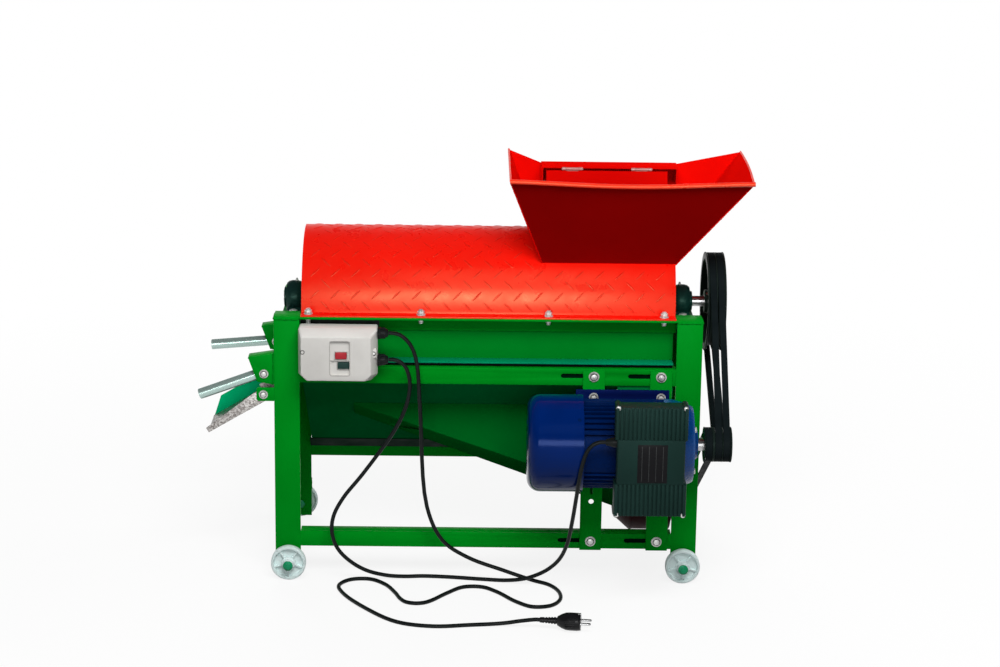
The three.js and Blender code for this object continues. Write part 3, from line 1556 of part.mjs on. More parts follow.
// Two-pin earthed plug lying on the floor
function plug() {
  const tip = plugNeck + plugHead;
  const body = turned([
    [0, 0],
    [plugNeckRadius * plugFlangeShare, 0],
    [plugNeckRadius, plugNeck],
    [plugRadius * plugBodyShare, plugNeck + plugHead * plugShoulderShare],
    [plugRadius * plugBodyShare, tip],
    [0, tip],
  ], 'x', 0, 0);
  const flat = block(-overrun, tip + overrun, -plugRadius * 2, plugRadius * 2, -plugRadius * 2,
    -plugAxis + gap);
  const pins = [-1, 1].map((way) => rod('x', (way * plugPinSpacing) / 2, 0, plugPinRadius,
    tip - plugPinRadius,
    tip + plugPinLength, smallSides));
  return join(cut(body, flat), pins);
}

const plugMesh = add('mains_plug', rubber, plug(), cords);
plugMesh.position.set(plugStart[0], plugStart[1], plugAxis);
plugMesh.rotation.z = plugHeading;

const middle = new THREE.Box3().setFromObject(machine, true).getCenter(new THREE.Vector3());
sheller.position.set(-middle.x, -middle.y, 0);

export default sheller;
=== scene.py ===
import math
import random

import bmesh
import bpy
from mathutils import Matrix, Vector


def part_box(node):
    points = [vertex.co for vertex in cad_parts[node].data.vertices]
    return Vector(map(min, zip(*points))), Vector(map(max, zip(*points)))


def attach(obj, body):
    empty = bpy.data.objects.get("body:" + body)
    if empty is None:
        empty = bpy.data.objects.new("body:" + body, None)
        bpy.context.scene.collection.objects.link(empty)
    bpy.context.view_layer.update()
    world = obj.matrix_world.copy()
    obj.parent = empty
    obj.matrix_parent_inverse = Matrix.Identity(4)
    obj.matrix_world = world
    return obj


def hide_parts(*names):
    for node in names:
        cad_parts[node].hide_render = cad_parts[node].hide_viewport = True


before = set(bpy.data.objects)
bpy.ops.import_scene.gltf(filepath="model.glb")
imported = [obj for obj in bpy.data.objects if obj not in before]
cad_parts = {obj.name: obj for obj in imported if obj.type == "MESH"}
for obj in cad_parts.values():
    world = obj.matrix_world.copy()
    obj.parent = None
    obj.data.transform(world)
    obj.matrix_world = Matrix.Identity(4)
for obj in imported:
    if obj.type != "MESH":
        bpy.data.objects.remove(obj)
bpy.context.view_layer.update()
print("frame loaded:", len(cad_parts), "nodes")

# Pieces are drawn in millimetres about the middle of the stand, as the frame's rails give it
railFront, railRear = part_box("top_rail_front"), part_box("top_rail_rear")
standMiddle = Vector(((railFront[0].x + railFront[1].x) / 2, (railFront[0].y + railRear[1].y) / 2, 0))
toMetres = Matrix.Translation(standMiddle) @ Matrix.Scale(0.001, 4)
scene = bpy.context.scene
random.seed(4)


def place(x, y, z):
    return toMetres @ Vector((x, y, z))


# Camera at the photograph's angle
cameraView = {"place": (-29.8, -4797.5, 1716.1), "yaw": 0.636, "pitch": 14.928, "roll": 0.775, "lens": 92.66}


def makeCamera(view):
    yaw, pitch, roll = (math.radians(view[k]) for k in ("yaw", "pitch", "roll"))
    right = Vector((math.cos(yaw), -math.sin(yaw), 0))
    ahead = Vector((math.sin(yaw) * math.cos(pitch), math.cos(yaw) * math.cos(pitch), -math.sin(pitch)))
    up = right.cross(ahead)
    across = right * math.cos(roll) + up * math.sin(roll)
    upward = up * math.cos(roll) - right * math.sin(roll)
    data = bpy.data.cameras.new("camera")
    data.lens = view["lens"]
    data.sensor_width = 36
    data.clip_start, data.clip_end = 0.1, 60
    camera = bpy.data.objects.new("camera", data)
    camera.matrix_world = Matrix((across, upward, -ahead)).transposed().to_4x4()
    camera.location = place(*view["place"])
    scene.collection.objects.link(camera)
    scene.camera = camera


makeCamera(cameraView)
print("camera in place")


# Lights, world and floor
studio = {
    "world": 0.2, "ceiling": 0.05, "horizon": (0.02, 0.42),
    "key": {"place": (0.3, -2.4, 3.0), "size": (2.2, 1.4), "power": 110},
    "sheen": {"place": (-0.2, -5.6, 1.95), "size": (3.8, 1.2), "power": 130},
    "fill": {"place": (0.2, -4.6, 1.3), "size": (2.4, 1.6), "power": 34},
    "side": {"place": (2.6, 1.2, 1.9), "size": (1.2, 1.2), "power": 24},
    "back": {"place": (-0.8, 3.6, 2.3), "size": (2.4, 1.4), "power": 75},
    "floorColour": (0.86, 0.86, 0.86), "floorBounce": (0.2, 0.2, 0.2), "floorGlow": 0.86, "fade": (0.9, 2.2),
}


def makeLamp(name, lamp):
    data = bpy.data.lights.new(name, "AREA")
    data.shape = "RECTANGLE"
    data.size, data.size_y = lamp["size"]
    data.energy = lamp["power"]
    obj = bpy.data.objects.new(name, data)
    obj.location = lamp["place"]
    aim = Vector((0, 0, 0.4)) - obj.location
    obj.rotation_euler = aim.to_track_quat("-Z", "Y").to_euler()
    scene.collection.objects.link(obj)
    return obj


def blended(nodes, links, share, first, second):
    node = nodes.new("ShaderNodeMix")
    links.new(share, node.inputs["Factor"])
    for key, value in (("A", first), ("B", second)):
        if isinstance(value, (int, float)):
            node.inputs[key].default_value = value
        else:
            links.new(value, node.inputs[key])
    return node.outputs["Result"]


def raysSeen(nodes, links):
    rays = nodes.new("ShaderNodeLightPath")
    mirrored = nodes.new("ShaderNodeMath")
    mirrored.operation = "MAXIMUM"
    links.new(rays.outputs["Is Glossy Ray"], mirrored.inputs[0])
    links.new(rays.outputs["Is Transmission Ray"], mirrored.inputs[1])
    return rays.outputs["Is Camera Ray"], mirrored.outputs[0]


def between(nodes, links, source, low, high, outLow, outHigh):
    node = nodes.new("ShaderNodeMapRange")
    for key, value in (("From Min", low), ("From Max", high), ("To Min", outLow), ("To Max", outHigh)):
        node.inputs[key].default_value = value
    links.new(source, node.inputs["Value"])
    return node.outputs["Result"]


def makeWorld(look):
    world = bpy.data.worlds.new("studio")
    world.use_nodes = True
    nodes, links = world.node_tree.nodes, world.node_tree.links
    background = nodes["Background"]
    background.inputs["Color"].default_value = (1, 1, 1, 1)
    seen, mirrored = raysSeen(nodes, links)
    height = nodes.new("ShaderNodeSeparateXYZ")
    links.new(nodes.new("ShaderNodeTexCoord").outputs["Generated"], height.inputs[0])
    ceiling = between(nodes, links, height.outputs["Z"], *look["horizon"], 1, look["ceiling"])
    level = blended(nodes, links, mirrored, look["world"], ceiling)
    links.new(blended(nodes, links, seen, level, 1.0), background.inputs["Strength"])
    scene.world = world


def makeFloor(look):
    material = bpy.data.materials.new("floor_white")
    material.use_nodes = True
    nodes, links = material.node_tree.nodes, material.node_tree.links
    nodes.clear()
    seen, mirrored = raysSeen(nodes, links)
    shown = nodes.new("ShaderNodeMath")
    shown.operation = "MAXIMUM"
    links.new(seen, shown.inputs[0])
    links.new(mirrored, shown.inputs[1])
    away = nodes.new("ShaderNodeVectorMath")
    away.operation = "LENGTH"
    links.new(nodes.new("ShaderNodeTexCoord").outputs["Object"], away.inputs[0])
    glow = nodes.new("ShaderNodeMath")
    glow.operation = "MULTIPLY"
    links.new(between(nodes, links, away.outputs["Value"], *look["fade"], look["floorGlow"], 1),
              glow.inputs[0])
    links.new(shown.outputs[0], glow.inputs[1])
    paint = nodes.new("ShaderNodeMix")
    paint.data_type = "RGBA"
    paint.inputs["A"].default_value = (*look["floorBounce"], 1)
    paint.inputs["B"].default_value = (*look["floorColour"], 1)
    links.new(shown.outputs[0], paint.inputs["Factor"])
    diffuse = nodes.new("ShaderNodeBsdfDiffuse")
    links.new(paint.outputs["Result"], diffuse.inputs["Color"])
    both = nodes.new("ShaderNodeMixShader")
    links.new(glow.outputs[0], both.inputs["Fac"])
    links.new(diffuse.outputs[0], both.inputs[1])
    links.new(nodes.new("ShaderNodeEmission").outputs[0], both.inputs[2])
    links.new(both.outputs[0], nodes.new("ShaderNodeOutputMaterial").inputs["Surface"])
    mesh = bpy.data.meshes.new("floor")
    mesh.from_pydata([(-9, -7, 0), (9, -7, 0), (9, 11, 0), (-9, 11, 0)], [], [(0, 1, 2, 3)])
    mesh.materials.append(material)
    floor = bpy.data.objects.new("floor", mesh)
    scene.collection.objects.link(floor)


scene.view_settings.view_transform = "Standard"
makeWorld(studio)
makeFloor(studio)
for lampName in ("key", "sheen", "fill", "side", "back"):
    lamp = makeLamp(lampName + "_light", studio[lampName])
    # The sheen light shows in gloss alone, the others light the paint
    lamp.visible_glossy = lampName == "sheen"
    lamp.visible_diffuse = lampName != "sheen"
print("studio lit")


# Solids: each function gives a mesh, and makePiece() joins the meshes of one piece
def arc(u, v, radius, start, end, steps):
    turns = [math.radians(start + (end - start) * i / steps) for i in range(steps + 1)]
    return [(u + radius * math.cos(t), v + radius * math.sin(t)) for t in turns]


def circle(u, v, radius, sides=32, turn=0):
    return arc(u, v, radius, turn, 360 + turn, sides)[:-1]


def rectangle(u0, u1, v0, v1):
    return [(u0, v0), (u1, v0), (u1, v1), (u0, v1)]


def onAxis(axis, u, v, w):
    return {"x": (w, u, v), "y": (u, w, v), "z": (u, v, w)}[axis]


def plate(outline, axis, start, end, holes=()):
    part = bmesh.new()
    edges = []
    for loop in (outline, *holes):
        verts = [part.verts.new(onAxis(axis, u, v, start)) for u, v in loop]
        edges += [part.edges.new((a, b)) for a, b in zip(verts, verts[1:] + verts[:1])]
    if holes:
        bmesh.ops.triangle_fill(part, edges=edges, use_beauty=True, use_dissolve=False)
    else:
        part.faces.new(part.verts)
    made = bmesh.ops.extrude_face_region(part, geom=part.faces[:])
    shift = Vector(onAxis(axis, 0, 0, end - start))
    bmesh.ops.translate(part, vec=shift, verts=[g for g in made["geom"] if isinstance(g, bmesh.types.BMVert)])
    bmesh.ops.recalc_face_normals(part, faces=part.faces)
    return part


def block(x0, x1, y0, y1, z0, z1):
    low, high = Vector(map(min, (x0, y0, z0), (x1, y1, z1))), Vector(map(max, (x0, y0, z0), (x1, y1, z1)))
    part = bmesh.new()
    bmesh.ops.create_cube(part, size=1)
    for vert in part.verts:
        vert.co = Vector((low[i] + (vert.co[i] + 0.5) * (high[i] - low[i]) for i in range(3)))
    return part


def rod(axis, u, v, radius, start, end, sides=32, turn=0):
    return plate(circle(u, v, radius, sides, turn), axis, start, end)


def tube(axis, u, v, radius, bore, start, end, sides=32):
    return turned([(bore, start), (radius, start), (radius, end), (bore, end)], axis, u, v, sides)


def turned(profile, axis, u, v, sides=64):
    part = bmesh.new()
    rings = []
    for radius, along in profile:
        if radius <= 0:
            rings.append([part.verts.new(onAxis(axis, u, v, along))])
            continue
        rings.append([part.verts.new(onAxis(axis, a, b, along)) for a, b in circle(u, v, radius, sides)])
    closed = profile[0][0] > 0
    pairs = list(zip(rings, rings[1:])) + ([(rings[-1], rings[0])] if closed else [])
    for first, second in pairs:
        for i in range(sides):
            j = (i + 1) % sides
            loop = [first[i % len(first)], first[j % len(first)], second[j % len(second)],
                    second[i % len(second)]]
            loop = list(dict.fromkeys(loop))
            if len(loop) > 2:
                part.faces.new(loop)
    bmesh.ops.recalc_face_normals(part, faces=part.faces)
    return part


def loft(rings, closed=False):
    part = bmesh.new()
    loops = [[part.verts.new(point) for point in ring] for ring in rings]
    pairs = list(zip(loops, loops[1:])) + ([(loops[-1], loops[0])] if closed else [])
    for first, second in pairs:
        for i in range(len(first)):
            j = (i + 1) % len(first)
            part.faces.new((first[i], first[j], second[j], second[i]))
    if not closed:
        part.faces.new(loops[0])
        part.faces.new(loops[-1])
    bmesh.ops.recalc_face_normals(part, faces=part.faces)
    return part


def swept(path, radius, sides=12):
    points = [Vector(p) for p in path]
    rings = []
    side = None
    for i, point in enumerate(points):
        before = points[i - 1] if i else point
        after = points[i + 1] if i < len(points) - 1 else point
        ahead = (after - before).normalized()
        if side is None:
            side = ahead.orthogonal().normalized()
        side = (side - ahead * side.dot(ahead)).normalized()
        other = ahead.cross(side)
        size = radius(i / max(1, len(points) - 1)) if callable(radius) else radius
        rings.append([point + side * a * size + other * b * size for a, b in circle(0, 0, 1, sides)])
    return loft(rings)


def soften(part, width, segments=2, angle=32):
    sharp = [e for e in part.edges if len(e.link_faces) == 2 and e.calc_face_angle(0) > math.radians(angle)]
    if sharp and width > 0:
        bmesh.ops.bevel(part, geom=sharp, offset=width, segments=segments, profile=0.5, affect="EDGES",
                        clamp_overlap=True)
    return part


def join(*parts):
    whole = bmesh.new()
    for part in parts:
        temporary = bpy.data.meshes.new("temporary")
        part.to_mesh(temporary)
        part.free()
        whole.from_mesh(temporary)
        bpy.data.meshes.remove(temporary)
    return whole


def carve(part, *tools):
    objs = []
    for solid in (part, join(*tools)):
        mesh = bpy.data.meshes.new("temporary")
        solid.to_mesh(mesh)
        solid.free()
        obj = bpy.data.objects.new("temporary", mesh)
        scene.collection.objects.link(obj)
        objs.append(obj)
    modifier = objs[0].modifiers.new("cut", "BOOLEAN")
    modifier.operation = "DIFFERENCE"
    modifier.solver = "EXACT"
    modifier.object = objs[1]
    bpy.context.view_layer.update()
    evaluated = objs[0].evaluated_get(bpy.context.evaluated_depsgraph_get())
    rest = bmesh.new()
    rest.from_mesh(evaluated.to_mesh())
    evaluated.to_mesh_clear()
    for obj in objs:
        mesh = obj.data
        bpy.data.objects.remove(obj)
        bpy.data.meshes.remove(mesh)
    bmesh.ops.dissolve_limit(rest, angle_limit=math.radians(0.5), verts=rest.verts, edges=rest.edges)
    return rest


def moved(part, matrix):
    bmesh.ops.transform(part, matrix=matrix, verts=part.verts)
    return part


def makePiece(name, groups, body="root", replaces=None, smooth=38):
    mesh = bpy.data.meshes.new(name)
    whole = bmesh.new()
    for index, (material, parts) in enumerate(groups):
        for part in parts:
            for face in part.faces:
                face.material_index = index
                face.smooth = True
            temporary = bpy.data.meshes.new("temporary")
            part.to_mesh(temporary)
            part.free()
            whole.from_mesh(temporary)
            bpy.data.meshes.remove(temporary)
        mesh.materials.append(material)
    whole.to_mesh(mesh)
    whole.free()
    mesh.set_sharp_from_angle(angle=math.radians(smooth))
    mesh.transform(toMetres)
    obj = bpy.data.objects.new(name, mesh)
    scene.collection.objects.link(obj)
    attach(obj, body)
    if replaces:
        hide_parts(replaces)
    return obj


# Finishes
def newMaterial(name):
    material = bpy.data.materials.new(name)
    material.use_nodes = True
    nodes, links = material.node_tree.nodes, material.node_tree.links
    return material, nodes, links, nodes["Principled BSDF"]


def noise(nodes, links, scale, detail=2.0, stretch=None):
    place = nodes.new("ShaderNodeTexCoord")
    texture = nodes.new("ShaderNodeTexNoise")
    texture.inputs["Scale"].default_value = scale
    texture.inputs["Detail"].default_value = detail
    source = place.outputs["Object"]
    if stretch:
        mapping = nodes.new("ShaderNodeMapping")
        mapping.inputs["Scale"].default_value = stretch
        links.new(source, mapping.inputs["Vector"])
        source = mapping.outputs["Vector"]
    links.new(source, texture.inputs["Vector"])
    return texture.outputs["Fac"]


def ramp(nodes, links, source, low, high, colours):
    node = nodes.new("ShaderNodeValToRGB")
    node.color_ramp.elements[0].position, node.color_ramp.elements[1].position = low, high
    node.color_ramp.elements[0].color, node.color_ramp.elements[1].color = [(*c, 1) for c in colours]
    links.new(source, node.inputs["Fac"])
    return node.outputs["Color"]


def bump(nodes, links, shader, height, strength, distance):
    node = nodes.new("ShaderNodeBump")
    node.inputs["Strength"].default_value = strength
    node.inputs["Distance"].default_value = distance
    links.new(height, node.inputs["Height"])
    links.new(node.outputs["Normal"], shader.inputs["Normal"])
    return node


def enamel(name, colour, worn, rough=0.3, peel=0.05, patch=9.0, edge=None, peelScale=420.0, gloss=0.04,
           tint=(1, 1, 1)):
    material, nodes, links, shader = newMaterial(name)
    shader.inputs["Specular IOR Level"].default_value = gloss
    shader.inputs["Specular Tint"].default_value = (*tint, 1)
    paint = ramp(nodes, links, noise(nodes, links, patch, 3), 0.35, 0.7, (colour, worn))
    # Sharp edges, found by pointiness, take the lighter edge colour: partly paint rubbed thin, partly a
    # painted edge highlight
    if edge:
        geometry = nodes.new("ShaderNodeNewGeometry")
        rim = between(nodes, links, geometry.outputs["Pointiness"], 0.53, 0.62, 0, 1)
        mix = nodes.new("ShaderNodeMix")
        mix.data_type = "RGBA"
        mix.inputs["B"].default_value = (*edge, 1)
        links.new(rim, mix.inputs["Factor"])
        links.new(paint, mix.inputs["A"])
        paint = mix.outputs["Result"]
    links.new(paint, shader.inputs["Base Color"])
    links.new(between(nodes, links, noise(nodes, links, 38, 4), 0.3, 0.7, rough * 0.8, rough * 1.25),
              shader.inputs["Roughness"])
    bump(nodes, links, shader, noise(nodes, links, peelScale, 2), peel, 0.001)
    return material


def bareMetal(name, colour, dull, rough, grain=(1, 1, 1), scale=220.0, strength=0.1, metallic=1.0):
    material, nodes, links, shader = newMaterial(name)
    links.new(ramp(nodes, links, noise(nodes, links, 60, 5), 0.3, 0.72, (colour, dull)),
              shader.inputs["Base Color"])
    shader.inputs["Metallic"].default_value = metallic
    streak = noise(nodes, links, scale, 3, grain)
    links.new(between(nodes, links, streak, 0.3, 0.7, rough * 0.75, rough * 1.3), shader.inputs["Roughness"])
    bump(nodes, links, shader, streak, strength, 0.0006)
    return material


def moulded(name, colour, deep, rough, grainScale=900.0, strength=0.06, gloss=0.25):
    material, nodes, links, shader = newMaterial(name)
    shader.inputs["Specular IOR Level"].default_value = gloss
    links.new(ramp(nodes, links, noise(nodes, links, 26, 4), 0.3, 0.75, (colour, deep)),
              shader.inputs["Base Color"])
    links.new(between(nodes, links, noise(nodes, links, 70, 3), 0.3, 0.7, rough * 0.85, rough * 1.2),
              shader.inputs["Roughness"])
    bump(nodes, links, shader, noise(nodes, links, grainScale, 2), strength, 0.0005)
    return material


def spangled(name, light, dark, rough):
    material, nodes, links, shader = newMaterial(name)
    place = nodes.new("ShaderNodeTexCoord")
    cells = nodes.new("ShaderNodeTexVoronoi")
    cells.inputs["Scale"].default_value = 380
    cells.inputs["Randomness"].default_value = 1
    links.new(place.outputs["Object"], cells.inputs["Vector"])
    shade = nodes.new("ShaderNodeSeparateColor")
    links.new(cells.outputs["Color"], shade.inputs["Color"])
    links.new(ramp(nodes, links, shade.outputs["Red"], 0.1, 0.9, (dark, light)), shader.inputs["Base Color"])
    shader.inputs["Metallic"].default_value = 0.85
    links.new(between(nodes, links, shade.outputs["Green"], 0, 1, rough * 0.7, rough * 1.4),
              shader.inputs["Roughness"])
    bump(nodes, links, shader, noise(nodes, links, 300, 3), 0.18, 0.0006)
    return material


def clearPlastic(name, colour):
    material, nodes, links, shader = newMaterial(name)
    links.new(ramp(nodes, links, noise(nodes, links, 18, 2), 0.3, 0.7, (colour, [c * 0.93 for c in colour])),
              shader.inputs["Base Color"])
    shader.inputs["Transmission Weight"].default_value = 0.12
    shader.inputs["IOR"].default_value = 1.3
    links.new(between(nodes, links, noise(nodes, links, 60, 2), 0.3, 0.7, 0.4, 0.5),
              shader.inputs["Roughness"])
    bump(nodes, links, shader, noise(nodes, links, 90, 2), 0.02, 0.0005)
    return material


leafTint, seaTint, fireTint = (0.12, 1, 0.4), (0.5, 0.62, 1), (1, 0.7, 0.34)
green = enamel("frame_green", (0.0, 0.265, 0.013), (0.0, 0.23, 0.01), rough=0.3, tint=leafTint)
darkGreen = enamel("shaded_green", (0.0, 0.16, 0.02), (0.0, 0.11, 0.015), rough=0.36, patch=5, tint=leafTint)
slideGreen = enamel("slide_green", (0.0, 0.17, 0.04), (0.0, 0.11, 0.02), rough=0.4, patch=4, peel=0.02,
                    gloss=0, tint=leafTint)
ductGreen = enamel("duct_green", (0.0, 0.14, 0.015), (0.0, 0.1, 0.012), rough=0.4, patch=5, peel=0.02,
                   gloss=0, tint=leafTint)
panelGreen = enamel("panel_green", (0.0, 0.25, 0.02), (0.0, 0.2, 0.015), rough=0.3, patch=5, gloss=0.03,
                    tint=leafTint)
# The foot flange's lighter teal is a painted highlight along its upward face
panelFootHighlight = enamel("panel_foot_painted_highlight", (0.0, 0.27, 0.12), (0.0, 0.21, 0.09), rough=0.28, patch=5, gloss=0.1,
                    tint=leafTint)
slotShade = enamel("slot_shade", (0.0, 0.012, 0.005), (0.0, 0.006, 0.003), rough=0.5, gloss=0.01,
                   tint=leafTint)
hoodRed = enamel("hood_red", (0.88, 0.006, 0.002), (0.82, 0.004, 0.001), rough=0.31, peel=0.06, patch=6,
                 gloss=0.85, tint=fireTint)
# The tread marks' darker red is painted shade, standing in for the shade along their raised edges
hoodMarkPaintedShade = enamel("hood_mark_painted_shade", (0.78, 0.008, 0.003), (0.68, 0.004, 0.001), rough=0.3, patch=6, gloss=1.0,
                  tint=fireTint)
hopperRed = enamel("hopper_red", (0.82, 0.003, 0.001), (0.7, 0.002, 0.001), rough=0.4, peel=0.03, patch=4,
                   gloss=0, tint=fireTint)
hopperShade = enamel("hopper_shade", (0.29, 0.001, 0.001), (0.24, 0.001, 0.001), rough=0.4, peel=0.03,
                     patch=4, gloss=0, tint=fireTint)
# The rolled lip and beads are a lighter, orange red: their real gloss plus a painted highlight along the lip
hopperEdgeHighlight = enamel("hopper_edge_painted_highlight", (0.92, 0.03, 0.01), (0.84, 0.02, 0.008), rough=0.3, patch=5, gloss=0.9,
                    tint=fireTint)
hingePale = bareMetal("hinge_pale", (0.66, 0.42, 0.4), (0.55, 0.24, 0.21), 0.45, scale=300, metallic=0.4)
# The fan casing is red paint drawn nearly black: painted shade for the shadow it stands in behind the motor
fanRedPaintedShade = enamel("fan_maroon", (0.03, 0.003, 0.004), (0.016, 0.002, 0.003), rough=0.45, gloss=0.02)
blue = enamel("motor_blue", (0.0, 0.013, 0.11), (0.0, 0.01, 0.085), rough=0.14, peel=0.05, gloss=0.17,
              tint=(0.3, 0.45, 1))
finBlue = enamel("fin_blue", (0.0, 0.012, 0.08), (0.0, 0.008, 0.055), rough=0.3, peel=0.4, peelScale=900,
                 gloss=0.05, tint=seaTint)
footBlue = enamel("foot_blue", (0.002, 0.009, 0.085), (0.002, 0.006, 0.06), rough=0.3, peel=0.3, tint=seaTint)
# The end shield's lighter edge colour is partly rubbed paint, partly a painted edge highlight
shieldBlue = enamel("shield_blue", (0.0, 0.045, 0.2), (0.0, 0.03, 0.14), rough=0.24, peel=1.0, peelScale=200,
                    edge=(0.1, 0.26, 0.6), gloss=0.4, tint=seaTint)
bearingGreen = enamel("bearing_green", (0.004, 0.035, 0.024), (0.006, 0.022, 0.02), rough=0.3, peel=0.5,
                      peelScale=300, gloss=0.2, tint=(0.5, 1, 0.8))
boxGreen = enamel("box_green", (0.008, 0.026, 0.022), (0.005, 0.018, 0.015), rough=0.42, peel=0.2,
                  peelScale=700, gloss=0.12, tint=(0.6, 1, 0.9))
boxLine = moulded("box_line", (0.05, 0.055, 0.055), (0.03, 0.034, 0.034), 0.4)
hubGreen = enamel("hub_green", (0.0, 0.26, 0.1), (0.0, 0.2, 0.07), rough=0.25, peel=0.2, gloss=0.4,
                  tint=(0.5, 1, 0.8))
steel = bareMetal("steel", (0.6, 0.61, 0.62), (0.42, 0.42, 0.42), 0.3, (0.15, 3, 3))
# Dark steel: wear on the drum and sieve, and painted shade on the ring in the crease of each flanged bolt
# head
wornSteelAndCreaseShade = bareMetal("worn_steel_and_crease_shade", (0.16, 0.16, 0.155), (0.08, 0.075, 0.07), 0.5, (0.2, 3, 3), metallic=0.6)
zinc = bareMetal("zinc_bolts", (0.84, 0.84, 0.82), (0.42, 0.43, 0.42), 0.42, scale=500, strength=0.5,
                 metallic=0.5)
# The handle chrome's green-teal tint is a painted reflection of the green frame around it
chrome = bareMetal("chrome", (0.47, 0.62, 0.58), (0.44, 0.58, 0.54), 0.24, scale=60, strength=0.005,
                   metallic=0.65)
galvanised = spangled("galvanised", (0.58, 0.56, 0.54), (0.22, 0.2, 0.19), 0.36)
chuteGreen = enamel("chute_green", (0.0, 0.5, 0.2), (0.0, 0.4, 0.15), rough=0.3, patch=8, tint=leafTint)
pulleyBlack = enamel("pulley_black", (0.008, 0.014, 0.012), (0.014, 0.022, 0.019), rough=0.32, peel=0.3,
                     gloss=0.05, tint=(0.7, 1, 0.9))
beltRubber = moulded("belt_rubber", (0.008, 0.012, 0.013), (0.005, 0.008, 0.009), 0.45, 700, 0.25, 0.01)
cordRubber = moulded("cord_rubber", (0.004, 0.006, 0.006), (0.008, 0.01, 0.01), 0.36, 600, 0.12, 0.12)
plugRubber = moulded("plug_rubber", (0.004, 0.004, 0.005), (0.009, 0.009, 0.01), 0.3, 1200, 0.15, 0.2)
paleGrey = moulded("box_pale", (0.68, 0.665, 0.635), (0.62, 0.605, 0.575), 0.36, 1200, 0.05)
windowGrey = moulded("window_grey", (0.54, 0.525, 0.5), (0.46, 0.445, 0.42), 0.2, 1200, 0.04)
stopRed = moulded("stop_red", (0.42, 0.018, 0.028), (0.34, 0.012, 0.02), 0.3)
startGreen = moulded("start_green", (0.003, 0.035, 0.028), (0.002, 0.024, 0.02), 0.3)
nameplate = moulded("nameplate", (0.003, 0.003, 0.004), (0.006, 0.006, 0.007), 0.3, gloss=0.1)
wheelClear = clearPlastic("wheel_pale", (0.8, 0.93, 0.92))
print("finishes made")


# Cords, their plug and glands
cordLook = {"diameter": 7.5, "mainsLength": 1.854, "motorLength": 1.232}
glandLook = {"plane": -195, "start": -205, "length": 20, "nut": 12, "ribs": 10, "mains": 487.5,
             "motor": 436.6}
plugLook = {"start": (98, -432), "end": (168, -441), "height": 17, "neck": 34, "head": 40, "radius": 16.4,
            "neckRadius": 6.6, "pin": 2.4, "pinLength": 19, "pinSpacing": 19}
mainsRoute = [
    (-184.7, -195, 487.5), (-177.2, -195, 487.5),
    (-162, -195, 483), (-145, -195, 466), (-133.5, -195, 436), (-126, -195, 345), (-112, -195, 150),
    (-82, -195, 83), (-35, -195, 50), (34, -195, 24), (88, -197, 6), (120, -217, 4.1),
    (138, -255, 4.1), (138, -298, 4.1), (120, -327, 4.1), (87, -333.5, 4.1),
    (56, -307, 4.1), (21, -257, 4.1), (-7, -232, 4.1), (-41, -233, 4.1),
    (-72, -266, 4.1), (-101, -306, 4.1), (-115, -318, 4.1), (-132, -321, 4.1),
    (-148, -314.5, 4.1), (-159, -297, 4.1), (-169, -267, 4.1), (-190, -222, 4.1),
    (-220, -195, 4.1), (-256, -199, 4.1), (-276, -229, 4.1), (-268, -268, 4.1),
    (-225, -343, 4.1), (-160, -417, 4.1), (-95, -436, 4.1), (-30, -428, 4.1),
    (30, -423, 6), (66, -427.5, 13),
    (90.56, -431.04, 17), (97.7, -431.96, 17),
]
motorCableRoute = [
    (-184.7, -195, 436.6), (-177.2, -195, 436.6),
    (-168.5, -195, 435), (-160, -195, 430), (-152.5, -195, 421), (-147.3, -195, 407), (-145, -195, 384),
    (-151, -195, 350), (-171, -195, 304), (-200, -195, 259), (-236, -195, 209), (-270, -195, 165),
    (-288, -195, 129), (-291, -195, 97), (-281, -195, 66), (-259, -194, 41), (-227, -190, 20),
    (-189, -184, 8), (-155, -179, 4.1), (-119, -176, 4.1), (-69, -180, 4.1),
    (-7, -190, 4.1), (40, -200, 6), (73, -207, 12), (97, -212, 22), (118, -221, 37),
    (138, -240, 64), (151, -266, 104), (158, -295, 156), (163, -322, 208), (167, -344, 252),
    (170.5, -353, 279), (174.8, -358, 299), (178.6, -359.5, 310.6), (183.7, -360, 319.6),
    (190.2, -360, 326.2), (197.6, -360, 330.2),
    (205.2, -360, 332), (212.7, -360, 332),
]


def threaded(points, steps=6):
    route = [Vector(p) for p in points]
    route = [route[0] * 2 - route[1], *route, route[-1] * 2 - route[-2]]
    line = []
    for a, b, c, d in zip(route, route[1:], route[2:], route[3:]):
        knots = [0.0]
        for first, second in ((a, b), (b, c), (c, d)):
            knots.append(knots[-1] + max((second - first).length ** 0.5, 1e-4))
        for i in range(steps):
            t = knots[1] + (knots[2] - knots[1]) * i / steps
            blend = lambda p, q, s, e: p * ((e - t) / (e - s)) + q * ((t - s) / (e - s))
            ab, bc, cd = (blend(p, q, s, e) for p, q, s, e in zip((a, b, c), (b, c, d), knots, knots[1:]))
            abc, bcd = blend(ab, bc, knots[0], knots[2]), blend(bc, cd, knots[1], knots[3])
            line.append(blend(abc, bcd, knots[1], knots[2]))
    return line + [route[-2]]


def lineLength(line):
    return sum((b - a).length for a, b in zip(line, line[1:]))


def makeCord(name, route, node):
    line = threaded(route)
    radius = cordLook["diameter"] / 2
    obj = makePiece(name, [(cordRubber, [swept(line, radius, 16)])], replaces=node)
    print(name, "is", round(lineLength(line) / 1000, 3), "m")


def makeGland(height, look):
    start, end = look["start"], look["start"] + look["length"] - 0.2
    base = soften(plate(circle(look["plane"], height, look["nut"] * 1.02, 6), "x", start, start + 6), 0.8)
    ribs = []
    for i in range(look["ribs"]):
        turn = math.radians(360 * i / look["ribs"])
        y, z = look["plane"] + math.cos(turn) * 9.2, height + math.sin(turn) * 9.2
        ribs.append(soften(rod("x", y, z, 1.5, start + 6.2, start + 14, 8), 0.3))
    dome = turned([(3.9, start + 5), (9.3, start + 5), (9.3, start + 13), (8.6, start + 15.5),
                   (6.6, end - 0.5), (5.2, end), (3.9, end)], "x", look["plane"], height, 32)
    return [base, dome, *ribs]


